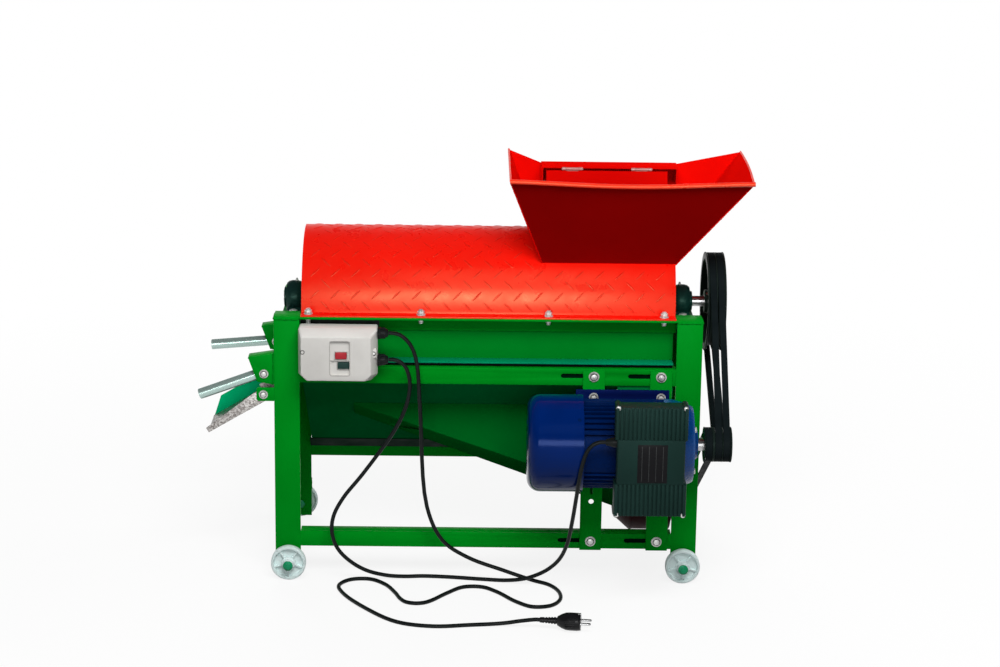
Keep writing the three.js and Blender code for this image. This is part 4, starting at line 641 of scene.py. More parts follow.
def makePlug(look):
    neckRadius, radius = look["neckRadius"], look["radius"]
    start, end = Vector(look["start"]), Vector(look["end"])
    heading = math.atan2(end.y - start.y, end.x - start.x)
    tip = look["neck"] + look["head"]
    neck = [(0, 0), (neckRadius * 0.75, 0)]
    for i in range(5):
        x = 5 + i * 5.2
        neck += [(neckRadius * (0.8 + i * 0.05), x), (neckRadius * (0.8 + i * 0.05), x + 3),
                 (neckRadius * (0.66 + i * 0.05), x + 3.2), (neckRadius * (0.66 + i * 0.05), x + 4.9)]
    body = turned([*neck, (neckRadius * 1.3, look["neck"] - 2), (radius * 0.8, look["neck"] + 6),
                   (radius * 0.96, look["neck"] + 13), (radius, look["neck"] + 20),
                   (radius, tip - 6), (radius * 0.96, tip - 2), (radius * 0.9, tip), (0, tip)],
                  "x", 0, 0, 40)
    ribs = [soften(block(look["neck"] + 12, tip - 9, way * 13.8, way * 16.8, z - 1.4, z + 1.4), 0.5)
            for way in (-1, 1) for z in (-6, -2, 2, 6)]
    pins = []
    for way in (-1, 1):
        pinEnd = tip + look["pinLength"]
        pins.append(turned([(0, tip - 2), (look["pin"], tip - 2), (look["pin"], pinEnd - 1.4),
                            (look["pin"] * 0.6, pinEnd), (0, pinEnd)], "x", way * look["pinSpacing"] / 2, 0,
                           20))
    clips = [soften(block(tip - 22, tip + 0.4, -3, 3, way * 14.6, way * 16.2), 0.4) for way in (-1, 1)]
    lie = Matrix.Translation((start.x, start.y, look["height"])) @ Matrix.Rotation(heading, 4, "Z")
    for part in (body, *ribs, *pins, *clips):
        moved(part, lie)
        for vert in part.verts:
            vert.co.z = max(vert.co.z, 0.35)
    return [(plugRubber, [body, *ribs]), (steel, [*pins, *clips])]


plug = makePiece("mains_plug_moulded", makePlug(plugLook), replaces="mains_plug")
makeCord("mains_lead", mainsRoute, "mains_cord")
makeCord("motor_lead", motorCableRoute, "motor_cable")
print("cords laid")

# Small hardware that several pieces share
def hexagon(axis, u, v, radius, start, end, turn=0):
    return soften(plate(circle(u, v, radius, 6, turn), axis, start, end), radius * 0.1)


def domed(axis, u, v, radius, start, height, way):
    rise = [(radius * math.cos(t), start + way * height * (0.3 + 0.7 * math.sin(t))) for t in
            (0, 0.35, 0.7, 1.05, 1.35)]
    return turned([(0, start), (radius, start), *rise, (0, start + way * height)], axis, u, v, 36)


def flangedHead(u, v, radius, start, height):
    flange = turned([(0, start), (radius, start), (radius, start - height * 0.25),
                     (radius * 0.86, start - height * 0.5), (0, start - height * 0.5)], "y", u, v, 36)
    # The dark ring where the hex meets the flange is painted crease shade
    ring = tube("y", u, v, radius * 0.76, radius * 0.5, start - height * 0.3, start - height * 0.56, 36)
    hexHead = hexagon("y", u, v, radius * 0.62, start - height * 0.3, start - height * 0.94, 10)
    tip = domed("y", u, v, radius * 0.36, start - height * 0.88, height * 0.12, -1)
    return [flange, hexHead, tip], [ring]


def stud(x, y, radius, low, high, pitch=1.6):
    turns = int((high - low) / pitch)
    profile = [(0, low)]
    for i in range(turns):
        z = low + (high - low) * i / turns
        profile += [(radius * 0.9, z), (radius, z + pitch / 2)]
    return turned([*profile, (radius * 0.8, high), (0, high)], "z", x, y, 16)


def weld(start, end, radius=1.7, pitch=3.6):
    first, last = Vector(start), Vector(end)
    length = (last - first).length
    count = max(6, int(length / 1.1))
    path = [first.lerp(last, i / count) + Vector([random.uniform(-0.3, 0.3) for _ in range(3)])
            for i in range(count + 1)]
    return swept(path, lambda s: radius * (0.72 + 0.4 * abs(math.sin(s * length / pitch * math.pi))), 8)


def angleSection(u, v, wayU, wayV, flangeU, flangeV, wall, root=4):
    turns = [math.radians(t) for t in (0, 30, 60, 90)]
    inner = [(wall + root - root * math.sin(t), wall + root - root * math.cos(t)) for t in turns]
    offsets = [(0, 0), (flangeU, 0), (flangeU, wall), *inner, (wall, flangeV), (0, flangeV)]
    return [(u - wayU * a, v - wayV * b) for a, b in offsets]


# Stand: legs with caps, axles and welds, and the rails between them
stand = {"half": 400, "deep": 165, "height": 508, "wall": 4, "leg": 48, "foot": 8, "rail": 30, "inner": 352,
         "rearDrop": 18, "midTop": 414, "midHigh": 32, "lowTop": 89, "rearTop": 166, "capDrop": 4,
         "edge": 0.7}
straps = {"centres": (198.5, 324.5), "width": 41, "front": -169, "bottom": 57, "top": 412,
          "railBolts": (400, 75), "footBolts": (362, 234), "slotLeft": -62, "slotRight": 18, "slotHigh": 9,
          "hole": 154, "holeRadius": 5, "bolt": 4, "boltEnd": -154.5, "nut": (8, -160.7, -154.7),
          "footHead": -175.3, "footEnd": -178}
tab = {"left": -433, "low": 345, "high": 371, "pivotX": -420, "pivotZ": 358, "hole": 4.6}
wheels = {"radius": 33, "x": 374, "start": 168.55, "hubEnd": 206.55, "near": 178, "far": 194, "hub": 11,
          "bore": 5.6, "spokes": 5, "axle": 5, "axleHead": 9, "heads": ((156, 161), (165, 168.2)),
          "cap": 206.85, "capEnd": 212.85}


def makeLeg(name, side, face):
    leg = stand["leg"]
    low, left = tab["low"], tab["left"]
    x, y = side * stand["half"], face * stand["deep"]
    high = stand["height"] - (stand["rearDrop"] if face > 0 else 0)
    top = high - stand["capDrop"]
    post = soften(plate(angleSection(x, y, side, face, leg, leg, stand["wall"]), "z",
                        stand["foot"], top + 0.2), stand["edge"])
    cap = soften(block(x, x - side * leg, y, y - face * leg, top, high), 1.0)
    beads = [weld((x - side * 2, y, top), (x - side * (leg - 2), y, top)),
             weld((x, y - face * 2, top), (x, y - face * (leg - 2), top)),
             weld((x - side * leg, y - face * 0.6, stand["lowTop"] - 2),
                  (x - side * leg, y - face * 0.6, stand["lowTop"] - stand["rail"] + 2), 1.1),
             weld((x - side * leg, y - face * 0.6, stand["midTop"] - 2),
                  (x - side * leg, y - face * 0.6, stand["midTop"] - stand["midHigh"] + 2), 1.1)]
    greens = [post, cap, *beads]
    if side < 0 and face < 0:
        hole = circle(tab["pivotX"], tab["pivotZ"], tab["hole"], 20)
        outline = [(x, low), (left + 3, low), (left, low + 3),
                   (left, tab["high"] - 3), (left + 3, tab["high"]), (x, tab["high"])]
        greens.append(soften(plate(outline, "y", y, y + stand["wall"], holes=[hole]), 0.5))
        greens.append(weld((x - 0.4, y + 2, low + 1), (x - 0.4, y + 2, tab["high"] - 1), 1.3))
    wheelX = side * wheels["x"]
    wheelZ = wheels["radius"]
    axle = [rod("y", wheelX, wheelZ, wheels["axle"], face * wheels["heads"][0][1],
                face * (wheels["capEnd"] - 0.5), 24)]
    axle += [hexagon("y", wheelX, wheelZ, wheels["axleHead"], face * a, face * b) for a, b in wheels["heads"]]
    axle += [domed("y", wheelX, wheelZ, 9.5, face * wheels["cap"], 3, face),
             hexagon("y", wheelX, wheelZ, 6.4, face * (wheels["cap"] + 1), face * (wheels["capEnd"] - 1.4)),
             domed("y", wheelX, wheelZ, 4.4, face * (wheels["capEnd"] - 1.6), 1.4, face)]
    makePiece(f"{name}_angle_iron", [(green, greens), (hubGreen, axle)], replaces=name)


def slotHole(centre, z):
    low, high = centre + straps["slotLeft"], centre + straps["slotRight"]
    radius = straps["slotHigh"] / 2
    return arc(high - radius, z, radius, -90, 90, 8) + arc(low + radius, z, radius, 90, 270, 8)


def makeRails():
    rail = stand["rail"]
    inner, deep, wall = stand["inner"], stand["deep"], stand["wall"]
    for name, top, height, slotZ in (
            ("mid_rail_front", stand["midTop"], stand["midHigh"], straps["railBolts"][0]),
            ("lower_rail_front", stand["lowTop"], rail, straps["railBolts"][1])):
        face = [(-inner, top - height), (inner, top - height), (inner, top), (-inner, top)]
        web = plate(face, "y", -deep, -deep + wall, holes=[slotHole(c, slotZ) for c in straps["centres"]])
        flange = block(-inner, inner, -deep + 0.2, -deep + rail, top - wall, top - 0.02)
        # Dark strips behind the slots are painted shade, so the slots look dark inside
        shadeStrips = [block(c + straps["slotLeft"] - 4, c - 14, -deep + wall - 0.1, -deep + wall + 0.9, slotZ - 8,
                       slotZ + 8) for c in straps["centres"]]
        makePiece(f"{name}_slotted", [(green, [soften(web, 0.5), soften(flange, 0.5)]), (slotShade, shadeStrips)],
                  replaces=name)
    for name, way in (("top_rail_front", -1), ("top_rail_rear", 1)):
        y = way * (deep - rail - wall)
        top, low = stand["height"], stand["height"] - rail
        flangeAndWeb = [(way * deep, top - wall), (way * deep, top), (y, top), (y, low),
                        (y + way * wall, low), (y + way * wall, top - wall)]
        makePiece(f"{name}_angle", [(green, [soften(plate(flangeAndWeb, "x", -inner, inner), 0.7)])],
                  replaces=name)
    for name, top in (("mid_rail_rear", stand["midTop"]), ("lower_rail_rear", stand["rearTop"])):
        height = stand["midHigh"] if top == stand["midTop"] else rail
        section = angleSection(deep, top, 1, 1, rail, height, wall)
        makePiece(f"{name}_angle", [(green, [soften(plate(section, "x", -inner, inner), 0.7)])],
                  replaces=name)


def makeWheel(name, body, side, face):
    hubEnd = wheels["hubEnd"]
    x, z = side * wheels["x"], wheels["radius"]
    along = lambda value: face * value
    radius, hub, bore = wheels["radius"], wheels["hub"], wheels["bore"]
    near, far, middle = wheels["near"], wheels["far"], (wheels["near"] + wheels["far"]) / 2
    profile = [(bore, wheels["start"]), (hub - 1, wheels["start"]), (hub, wheels["start"] + 1),
               (hub, middle - 1.5), (radius - 6.5, middle - 1.5), (radius - 5, near + 2),
               (radius - 3.4, near), (radius - 1.6, near), (radius - 0.2, near + 1.8),
               (radius - 0.05, middle), (radius - 0.2, far - 1.8), (radius - 1.6, far), (radius - 4.4, far),
               (radius - 5.4, far - 2), (radius - 6.5, middle + 1.5), (hub, middle + 1.5), (hub, hubEnd - 3),
               (hub - 1.2, hubEnd), (bore, hubEnd)]
    disc = turned([(r, along(w)) for r, w in profile], "y", x, z, 72)
    ribs = []
    for i in range(wheels["spokes"]):
        turn = Matrix.Translation((x, 0, z)) @ Matrix.Rotation(math.radians(72 * i + 18), 4, "Y")
        rib = block(hub - 2, radius - 4, along(middle), along(middle + 6), -1.6, 1.6)
        ribs.append(moved(soften(rib, 0.7), turn))
    collar = turned([(hub, along(hubEnd - 9)), (hub + 2.2, along(hubEnd - 10)),
                     (hub + 2.4, along(hubEnd - 13)), (hub, along(hubEnd - 14))], "y", x, z, 40)
    makePiece(f"{name}_moulded", [(wheelClear, [disc, *ribs, collar])], body, replaces=name)


for sideName, side in (("left", -1), ("right", 1)):
    for faceName, face in (("front", -1), ("rear", 1)):
        makeLeg(f"leg_{faceName}_{sideName}", side, face)
        makeWheel(f"wheel_{faceName}_{sideName}", f"wheel_{faceName[0]}{sideName[0]}", side, face)
makeRails()
print("stand and wheels made")

# Bearings on the end channels
bearings = {"x": 371, "z": 506, "bed": 473, "base": 63.5, "baseHigh": 14, "bolt": 47.5, "hubReach": 20.5}


def makeBearing(name, side):
    look = bearings
    x, z, bed = side * look["x"], look["z"], look["bed"]
    foot = [(-look["base"] + 5, bed), (look["base"] - 5, bed), (look["base"], bed + 4),
            (look["base"] - 2, bed + 12), (look["base"] - 8, bed + look["baseHigh"]),
            (34, bed + look["baseHigh"]), (30, bed + 20), (27.5, z - 17), (-27.5, z - 17), (-30, bed + 20),
            (-34, bed + look["baseHigh"]), (-look["base"] + 8, bed + look["baseHigh"]),
            (-look["base"] + 2, bed + 12), (-look["base"], bed + 4)]
    base = soften(plate(foot, "x", x - 13.5, x + 13.5), 2.2, 3)
    ring = [(17, -15.5), (27, -15), (30.5, -11), (32, -5), (32, 5), (30.5, 11), (27, 15), (17, 15.5)]
    housing = turned([(r, x + w) for r, w in ring], "x", 0, z, 64)
    race = tube("x", 0, z, 17.5, 12.5, x - 16.4, x + 16.4, 48)
    sleeve = soften(tube("x", 0, z, 14, 10.6, x - look["hubReach"], x + look["hubReach"], 48), 0.6)
    collar = soften(tube("x", 0, z, 19, 13.5, x + side * 15, x + side * 20, 48), 1.0)
    nipple = [turned([(0, z + 30), (3, z + 30), (3, z + 33.5), (1.8, z + 34.5), (2.2, z + 36),
                      (1.4, z + 37.4), (0, z + 37.6)], "z", x - side * 4, 0, 16)]
    bolts = []
    for way in (-1, 1):
        y = way * look["bolt"]
        washer = soften(tube("z", x, y, 10.5, 5, bed + 14, bed + 15.6, 32), 0.4)
        bolts += [washer, hexagon("z", x, y, 8, bed + 15.6, bed + 19.4, 15),
                  rod("z", x, y, 5, bed + 15, bed + 20, 20)]
    makePiece(f"{name}_casting", [(bearingGreen, [base, housing, collar]), (steel, [race, sleeve]),
                                  (zinc, nipple + bolts)], replaces=name)


makeBearing("bearing_left", -1)
makeBearing("bearing_right", 1)

# Folding handles in their brackets
handles = {"x": -418.7, "y": 153, "z": 399, "drop": 20, "radius": 10, "bore": 8, "length": 130, "tail": 11,
           "tilts": (20.2, 5), "gap": 12, "sheet": 3, "reach": 48, "top": 39, "bottom": 21}


def makeHandle(name, body, face, z, tilt):
    look = handles
    rings = [(look["bore"], -look["length"]), (look["radius"] - 0.8, -look["length"]),
             (look["radius"], -look["length"] + 0.9), (look["radius"], look["tail"] - 0.9),
             (look["radius"] - 0.8, look["tail"]), (look["bore"], look["tail"])]
    bar = turned(rings, "x", 0, 0, 48)
    bar = carve(bar, rod("y", 0, 0, 4.6, -14, 14, 24))
    hang = Matrix.Translation((look["x"], face * look["y"], z)) @ Matrix.Rotation(math.radians(-tilt), 4, "Y")
    makePiece(f"{name}_tube", [(chrome, [moved(bar, hang)])], body, replaces=name)


def makeBracket(name, face, z):
    look, end = handles, -stand["half"]
    outline = [(end - look["reach"], z + look["top"] * 0.8), (end, z + look["top"]),
               (end, z - look["bottom"]), (end - look["reach"] * 0.65, z - look["bottom"] * 0.75)]
    greens = []
    for offset in (-look["gap"] - look["sheet"], look["gap"]):
        y = face * (look["y"] + offset)
        hole = circle(look["x"], z, 4.2, 20)
        greens.append(soften(plate(outline, "y", y, y + face * look["sheet"], holes=[hole]), 0.6))
    near = face * (look["y"] - look["gap"] - look["sheet"])
    far = face * (look["y"] + look["gap"] + look["sheet"])
    greens.append(soften(block(end, end - look["sheet"], near, far, z - look["bottom"], z + look["top"]),
                         0.5))
    rise = look["top"] * 0.8
    roof = [(end - look["reach"], z + rise), (end, z + look["top"]), (end, z + look["top"] - look["sheet"]),
            (end - look["reach"], z + rise - look["sheet"])]
    greens.append(soften(plate(roof, "y", near + face * 0.2, far - face * 0.2), 0.8))
    greens += [weld((end - 1, y, z - look["bottom"] + 2), (end - 1, y, z + look["top"] - 2), 1.2)
               for y in (near, far)]
    head, ring = flangedHead(look["x"], z, 8.6, min(near, far), 5)
    bolt = [rod("y", look["x"], z, 4, min(near, far) - 1, max(near, far) + 5, 24), *head,
            hexagon("y", look["x"], z, 7.5, max(near, far), max(near, far) + 5)]
    makePiece(f"{name}_welded", [(green, greens), (zinc, bolt), (wornSteelAndCreaseShade, ring)], replaces=name)


makeHandle("handle_front", "handle_f", -1, handles["z"], handles["tilts"][0])
makeHandle("handle_rear", "handle_r", 1, handles["z"] - handles["drop"], handles["tilts"][1])
makeBracket("handle_bracket_front", -1, handles["z"])
makeBracket("handle_bracket_rear", 1, handles["z"] - handles["drop"])

# Cob chute on its rod: drawn level about the rod, then tilted
chute = {"x": -420, "z": 358, "near": 159, "far": 50, "tilt": 30.5, "reach": 129, "tail": 66, "notch": 8,
         "floor": 14, "sheet": 2, "nearTop": 10, "nearTip": 4, "farTop": 15, "rod": 4}


def makeChute():
    look = chute
    wide = look["near"] - look["far"]
    inner = look["near"] - (stand["deep"] - stand["leg"]) + 3
    low, sheet = -look["floor"], look["sheet"]
    tray = soften(block(-look["reach"], look["notch"], 0.3, wide - 0.3, low, low + sheet), 0.4)
    tail = soften(block(-look["reach"] / 2, look["tail"], inner, wide - 0.3, low + 0.02, low + sheet - 0.02),
                  0.4)
    fence = soften(block(-look["notch"], look["tail"], inner, inner + sheet, low, look["nearTop"]), 0.4)
    hole = circle(0, 0, look["rod"] + 0.2, 16)
    nearCheek = plate([(look["notch"], low), (look["notch"], look["nearTop"]),
                       (-look["reach"] / 8, look["nearTop"]), (-look["reach"], -look["nearTip"]),
                       (-look["reach"], low)], "y", 0, sheet, holes=[hole])
    farCheek = plate([(look["tail"], low), (look["tail"], look["farTop"]),
                      (-look["reach"] * 0.75, look["farTop"]), (-look["reach"], low)], "y", wide - sheet,
                     wide, holes=[hole])
    front = look["near"] - stand["deep"] - 0.3
    rear = look["near"] - 42 + 0.3
    spindle = rod("y", 0, 0, look["rod"], front - 4, rear + 5, 24)
    frontHead, ring = flangedHead(0, 0, 8.4, front, 5)
    heads = [*frontHead, hexagon("y", 0, 0, 7.5, rear, rear + 5)]
    spray = [soften(block(-look["reach"] + 8, 4, sheet, sheet + 0.5, low + sheet, low + sheet + 0.6), 0.2)]
    hang = (Matrix.Translation((look["x"], -look["near"], look["z"]))
            @ Matrix.Rotation(math.radians(-look["tilt"]), 4, "Y"))
    for part in (tray, tail, fence, nearCheek, farCheek, spindle, *heads, *ring, *spray):
        moved(part, hang)
    makePiece("cob_chute_folded_sheet", [(galvanised, [tray, tail, fence, soften(nearCheek, 0.4), *spray]),
                                         (chuteGreen, [soften(farCheek, 0.4)]), (zinc, [spindle, *heads]),
                                         (wornSteelAndCreaseShade, ring)], "chute", replaces="cob_chute")


makeChute()
print("bearings, handles and chute made")

# Drum hood of tread plate, with its bolts
hood = {"radius": 138, "sheet": 3, "z": 508, "flange": 163, "flangeHigh": 6, "half": 350, "pitch": 38,
        "row": 21, "mark": 25, "markWide": 3.8, "markHigh": 1.0, "bolts": (-336, -126, 112, 328),
        "boltY": 150, "stud": 13, "longStud": 21, "boxBolt": -300, "cut": (103, 97)}


def treadMark(x, angle, way, radius, look):
    part = bmesh.new()
    count, across = 10, (-1, -0.55, 0, 0.55, 1)
    grid = []
    for i in range(count + 1):
        s = -1 + 2 * i / count
        wide = look["markWide"] * math.sqrt(max(0.02, 1 - s * s)) / 2
        row = []
        for t in across:
            along, side = s * look["mark"] / 2, t * wide
            dx = (along - side) * math.sqrt(0.5)
            ds = (along + side) * math.sqrt(0.5) * way
            high = look["markHigh"] * (1 - t * t) * math.sqrt(max(0, 1 - s * s))
            high += -0.12 if abs(t) == 1 else 0
            turn = angle + ds / radius
            row.append(part.verts.new((x + dx, -(radius + high) * math.cos(turn),
                                       look["z"] + (radius + high) * math.sin(turn))))
        grid.append(row)
    for first, second in zip(grid, grid[1:]):
        for i in range(len(across) - 1):
            part.faces.new((first[i], first[i + 1], second[i + 1], second[i]))
    bmesh.ops.recalc_face_normals(part, faces=part.faces)
    bmesh.ops.contextual_create(part, geom=[e for e in part.edges if e.is_boundary])
    bmesh.ops.recalc_face_normals(part, faces=part.faces)
    return part


def makeHood(look):
    flange, half, cut = look["flange"], look["half"], look["cut"]
    lean = math.degrees(math.asin(look["flangeHigh"] / look["radius"]))
    z, radius, inner = look["z"], look["radius"], look["radius"] - look["sheet"]
    outline = [(flange, z), (flange, z + look["flangeHigh"] / 2),
               *arc(0, z, radius, lean / 2, 180 - lean / 2, 72), (-flange, z + look["flangeHigh"] / 2),
               (-flange, z), *arc(0, z, inner, 180, 0, 72)]
    shell = soften(plate(outline, "x", -half, half), 0.5, 2, 50)
    shell = carve(shell, block(cut[0], half + 30, -cut[1], cut[1], z + 12, z + 200))
    marks = []
    rows = int(math.pi * radius / look["row"])
    for r in range(rows):
        angle = (r + 0.75) * look["row"] / radius
        if angle > math.pi - 0.14 or angle < 0.1:
            continue
        columns = int(half * 2 / look["pitch"])
        for c in range(columns + 1):
            x = -half + look["pitch"] * (c + (0.5 if r % 2 else 0.02)) + 6
            covered = x > cut[0] - 22 and abs(radius * math.cos(angle)) < cut[1] + 16
            if covered or x > half - 15 or x < -half + 13:
                continue
            marks.append(treadMark(x, angle, 1 if r % 2 else -1, radius, look))
    hardware = []
    for x in look["bolts"]:
        for y in (-look["boltY"], look["boltY"]):
            top = z + look["flangeHigh"] / 2
            reach = look["longStud"] if x < look["boxBolt"] and y < 0 else look["stud"]
            hardware += [soften(tube("z", x, y, 8.4, 4, top, top + 1.6, 28), 0.4),
                         hexagon("z", x, y, 7.2, top + 1.6, top + 8, 12),
                         stud(x, y, 4.4, z - reach, top + 11), hexagon("z", x, y, 5.6, z - 9, z - 4.3, 8)]
    makePiece("hood_tread_plate", [(hoodRed, [shell]), (hoodMarkPaintedShade, marks)], replaces="hood")
    makePiece("hood_bolts", [(zinc, hardware)])


makeHood(hood)
print("hood made")

# Hopper: four sloping walls with rolled edges, a cover over the throat, and a hanging flap
hopper = {"left": 100, "right": 350, "deep": 100, "base": 600, "rim": 775, "rimLeft": 36, "rimRight": 489.4,
          "rimNose": 484, "bow": 2.5, "rimFront": 190, "rimRear": 123, "sheet": 3, "dip": 750, "sag": 7,
          "bulge": 2.4, "lip": 4.4, "coverLeft": 100, "coverRight": 362, "coverFront": 62, "coverHigh": 9,
          "coverRear": 3, "cheekLow": 660, "hoodRound": (508, 138.3, -10, 350.3)}
flapLook = {"left": 109, "right": 342, "long": 100, "y": 58.7, "z": 750, "sheet": 2, "hingeRadius": 3,
            "hinge": 40, "lug": 8, "starts": (139, 272)}


def slope(lowLeft, lowRight, highRight, highLeft, inward, thickness, edge, steps=20):
    corners = [Vector(c) for c in (lowLeft, lowRight, highRight, highLeft)]
    inwardWay = Vector(inward).normalized()
    rings = []
    for i in range(steps + 1):
        s = i / steps
        low, high = corners[0].lerp(corners[1], s), corners[3].lerp(corners[2], s)
        high += Vector(edge(s))
        bow = [(0.0, 0.0), (0.25, 0.7), (0.5, 1.0), (0.75, 0.7), (1.0, 0.0)]
        outer = [low.lerp(high, t) - inwardWay * b * 1.2 * math.sin(math.pi * s) for t, b in bow]
        inner = [p + inwardWay * thickness for p in outer]
        rings.append(outer + inner[::-1])
    return loft(rings)


def makeHopper(look):
    leftX, rightX = look["left"], look["right"]
    rimLeft, sheet = look["rimLeft"], look["sheet"]
    base, rim, deep = look["base"], look["rim"], look["deep"]
    frontEdge = lambda s: (0, 0, -look["sag"] * math.sin(math.pi * s) ** 1.5)
    lowFrontLeft, lowFrontRight = (leftX, -deep, base), (rightX, -deep, base)
    lowRearLeft, lowRearRight = (leftX, deep, base), (rightX, deep, base)
    frontLeft, frontRight = (rimLeft, -look["rimFront"], rim), (look["rimNose"], -look["rimFront"], rim)
    rearLeft, rearRight = (rimLeft, look["rimRear"], rim), (look["rimRight"], look["rimRear"], rim)
    front = slope(lowFrontLeft, lowFrontRight, frontRight, frontLeft, (0, 175, 90), sheet, frontEdge)
    left = slope(lowRearLeft, lowFrontLeft, frontLeft, rearLeft, (175, 0, 64), sheet, lambda s: (0, 0, 0))
    right = slope(lowFrontRight, lowRearRight, rearRight, frontRight, (-175, 0, 140), sheet,
                  lambda s: (look["bow"] * math.sin(math.pi * s), 0, look["bulge"] * math.sin(math.pi * s)))
    rearAt = lambda z: deep + (look["rimRear"] - deep) * (z - base) / (rim - base)
    spreadAt = lambda z: (z - base) / (rim - base)
    leftAt = lambda z: leftX + (rimLeft - leftX) * spreadAt(z)
    rightAt = lambda z: rightX + (look["rimRight"] - rightX) * spreadAt(z)
    dip, wide = look["dip"], look["coverRight"]
    rearOutline = [(leftX, base), (rightX, base), (rightAt(dip), dip), (look["rimRight"], rim),
                   (wide, dip), (leftX, dip), (rimLeft, rim), (leftAt(dip), dip)]
    rear = plate(rearOutline, "y", 0, -sheet)
    for vert in rear.verts:
        vert.co.y += rearAt(vert.co.z)
    lipPath = [(rimLeft + (look["rimNose"] - rimLeft) * s, -look["rimFront"] - 4,
                rim + frontEdge(s)[2]) for s in (i / 32 for i in range(33))]
    lip = swept(lipPath, look["lip"], 20)
    beadLeft = swept([Vector(frontLeft).lerp(Vector(rearLeft), t / 12) + Vector((1, 0, 0))
                      for t in range(13)], 1.9, 10)
    beadRight = swept([Vector(frontRight).lerp(Vector(rearRight), t / 16)
                       + Vector((look["bow"] * math.sin(math.pi * t / 16) - 2, 0,
                                 look["bulge"] * math.sin(math.pi * t / 16))) for t in range(17)], 1.9, 10)
    foot = [soften(plate([(-deep + 1, base + 4), (-deep - 0.6, base + 4), (-deep - 4.5, base - 6),
                          (-deep - 2.5, base - 6.5)], "x", leftX + 3, rightX - 2), 0.5)]
    z0, z1, zFar = dip, dip + look["coverHigh"], dip + look["coverRear"]
    near, far = look["coverFront"], rearAt(dip)
    sections = []
    for i in range(25):
        s = i / 24
        x = look["coverLeft"] + (look["coverRight"] - look["coverLeft"]) * s
        kink = -1.2 * math.exp(-((s - 0.36) / 0.03) ** 2) + 0.7 * math.sin(s * 9)
        end = 2.6 * (max(0, 1 - s / 0.06) + max(0, 1 - (1 - s) / 0.05))
        sections.append([(x, near + a, z + (kink if z > z0 + 2 else 0) - (end if z > z0 + 2 else 0)) for a,
                         z in ((0.8, z0), (0, z0 + 1), (0, z1 - 2.5), (0.8, z1 - 0.8), (2.4, z1 - 0.2))]
                        + [(x, far - 2, zFar - 0.2), (x, far, zFar - 1), (x, far, z0)])
    cover = loft(sections)
    cheeks = []
    for x in (look["coverLeft"], look["coverRight"] - sheet):
        cheek = [(near, z0 + 1), (far - 1, z0 + 1), (rearAt(look["cheekLow"]) - 1, look["cheekLow"]),
                 (near + 20, look["cheekLow"])]
        cheeks.append(soften(plate(cheek, "x", x, x + sheet), 0.5))
    lugs = []
    for start in flapLook["starts"]:
        for x in (start, start + flapLook["hinge"] - flapLook["lug"]):
            lugs.append(soften(rod("x", flapLook["y"], flapLook["z"], flapLook["hingeRadius"], x,
                                   x + flapLook["lug"], 24), 0.4))
            lugs.append(soften(block(x, x + flapLook["lug"], flapLook["y"], near + 1, flapLook["z"] + 1.2,
                                     flapLook["z"] + 2.8), 0.4))
        lugs.append(rod("x", flapLook["y"], flapLook["z"], 1.4, start - 0.6, start + flapLook["hinge"] + 0.6,
                        16))
    seams = [weld(low, Vector(low).lerp(Vector(high), 0.98), 1.2, 5)
             for low, high in ((lowFrontLeft, frontLeft), (lowFrontRight, frontRight),
                               (lowRearLeft, rearLeft), (lowRearRight, rearRight))]
    shell, back, sides = (carve(join(*walls), rod("x", 0, *look["hoodRound"], 96)) for walls in
                          ((front,), (rear,), (left, right)))
    makePiece("hopper_welded_sheet",
              [(hopperShade, [shell]), (hopperRed, [back, sides, cover, *cheeks, *foot, *seams]),
               (hopperEdgeHighlight, [lip, beadLeft, beadRight]),
               (hingePale, lugs)], replaces="hopper")


def makeFlap(look):
    z = look["z"]
    y = look["y"]
    top = z - look["hingeRadius"] - 0.3
    sections = []
    for i in range(17):
        s = i / 16
        x = look["left"] + (look["right"] - look["left"]) * s
        bow = 0.5 * math.sin(s * 7)
        sections.append([(x, y + way * look["sheet"] / 2 + bow * t, top - look["long"] * t)
                         for way, order in ((-1, 1), (1, -1)) for t in (0, 0.35, 0.7, 1)[::order]])
    knuckles = []
    for start in look["starts"]:
        low, high = start + look["lug"] + 0.4, start + look["hinge"] - look["lug"] - 0.4
        knuckles.append(soften(tube("x", y, z, look["hingeRadius"], 1.7, low, high, 24), 0.4))
        knuckles.append(soften(block(low, high, y - 1, y + 1, top - 1, z - 2.2), 0.2))
    makePiece("hopper_flap_sheet", [(hopperRed, [loft(sections)]), (hingePale, knuckles)], "flap",
              replaces="hopper_flap")


makeHopper(hopper)
makeFlap(flapLook)
print("hopper and flap made")

# Motor: finned housing on its foot, smooth fan cover and end shield
motor = {"y": -258, "z": 298, "left": 170, "right": 388, "shield": 330, "finTop": 83, "finRoot": 76,
         "fins": 44, "coverLeft": 73, "coverRight": 175.2, "coverRadius": 90, "coverRound": 24,
         "coverWall": 2, "foot": (165, 340, 220, 376), "footFront": -175, "footBack": -169, "bareAngle": 24,
         "pad": (237, -342, 228, 372), "shieldBolt": 56}


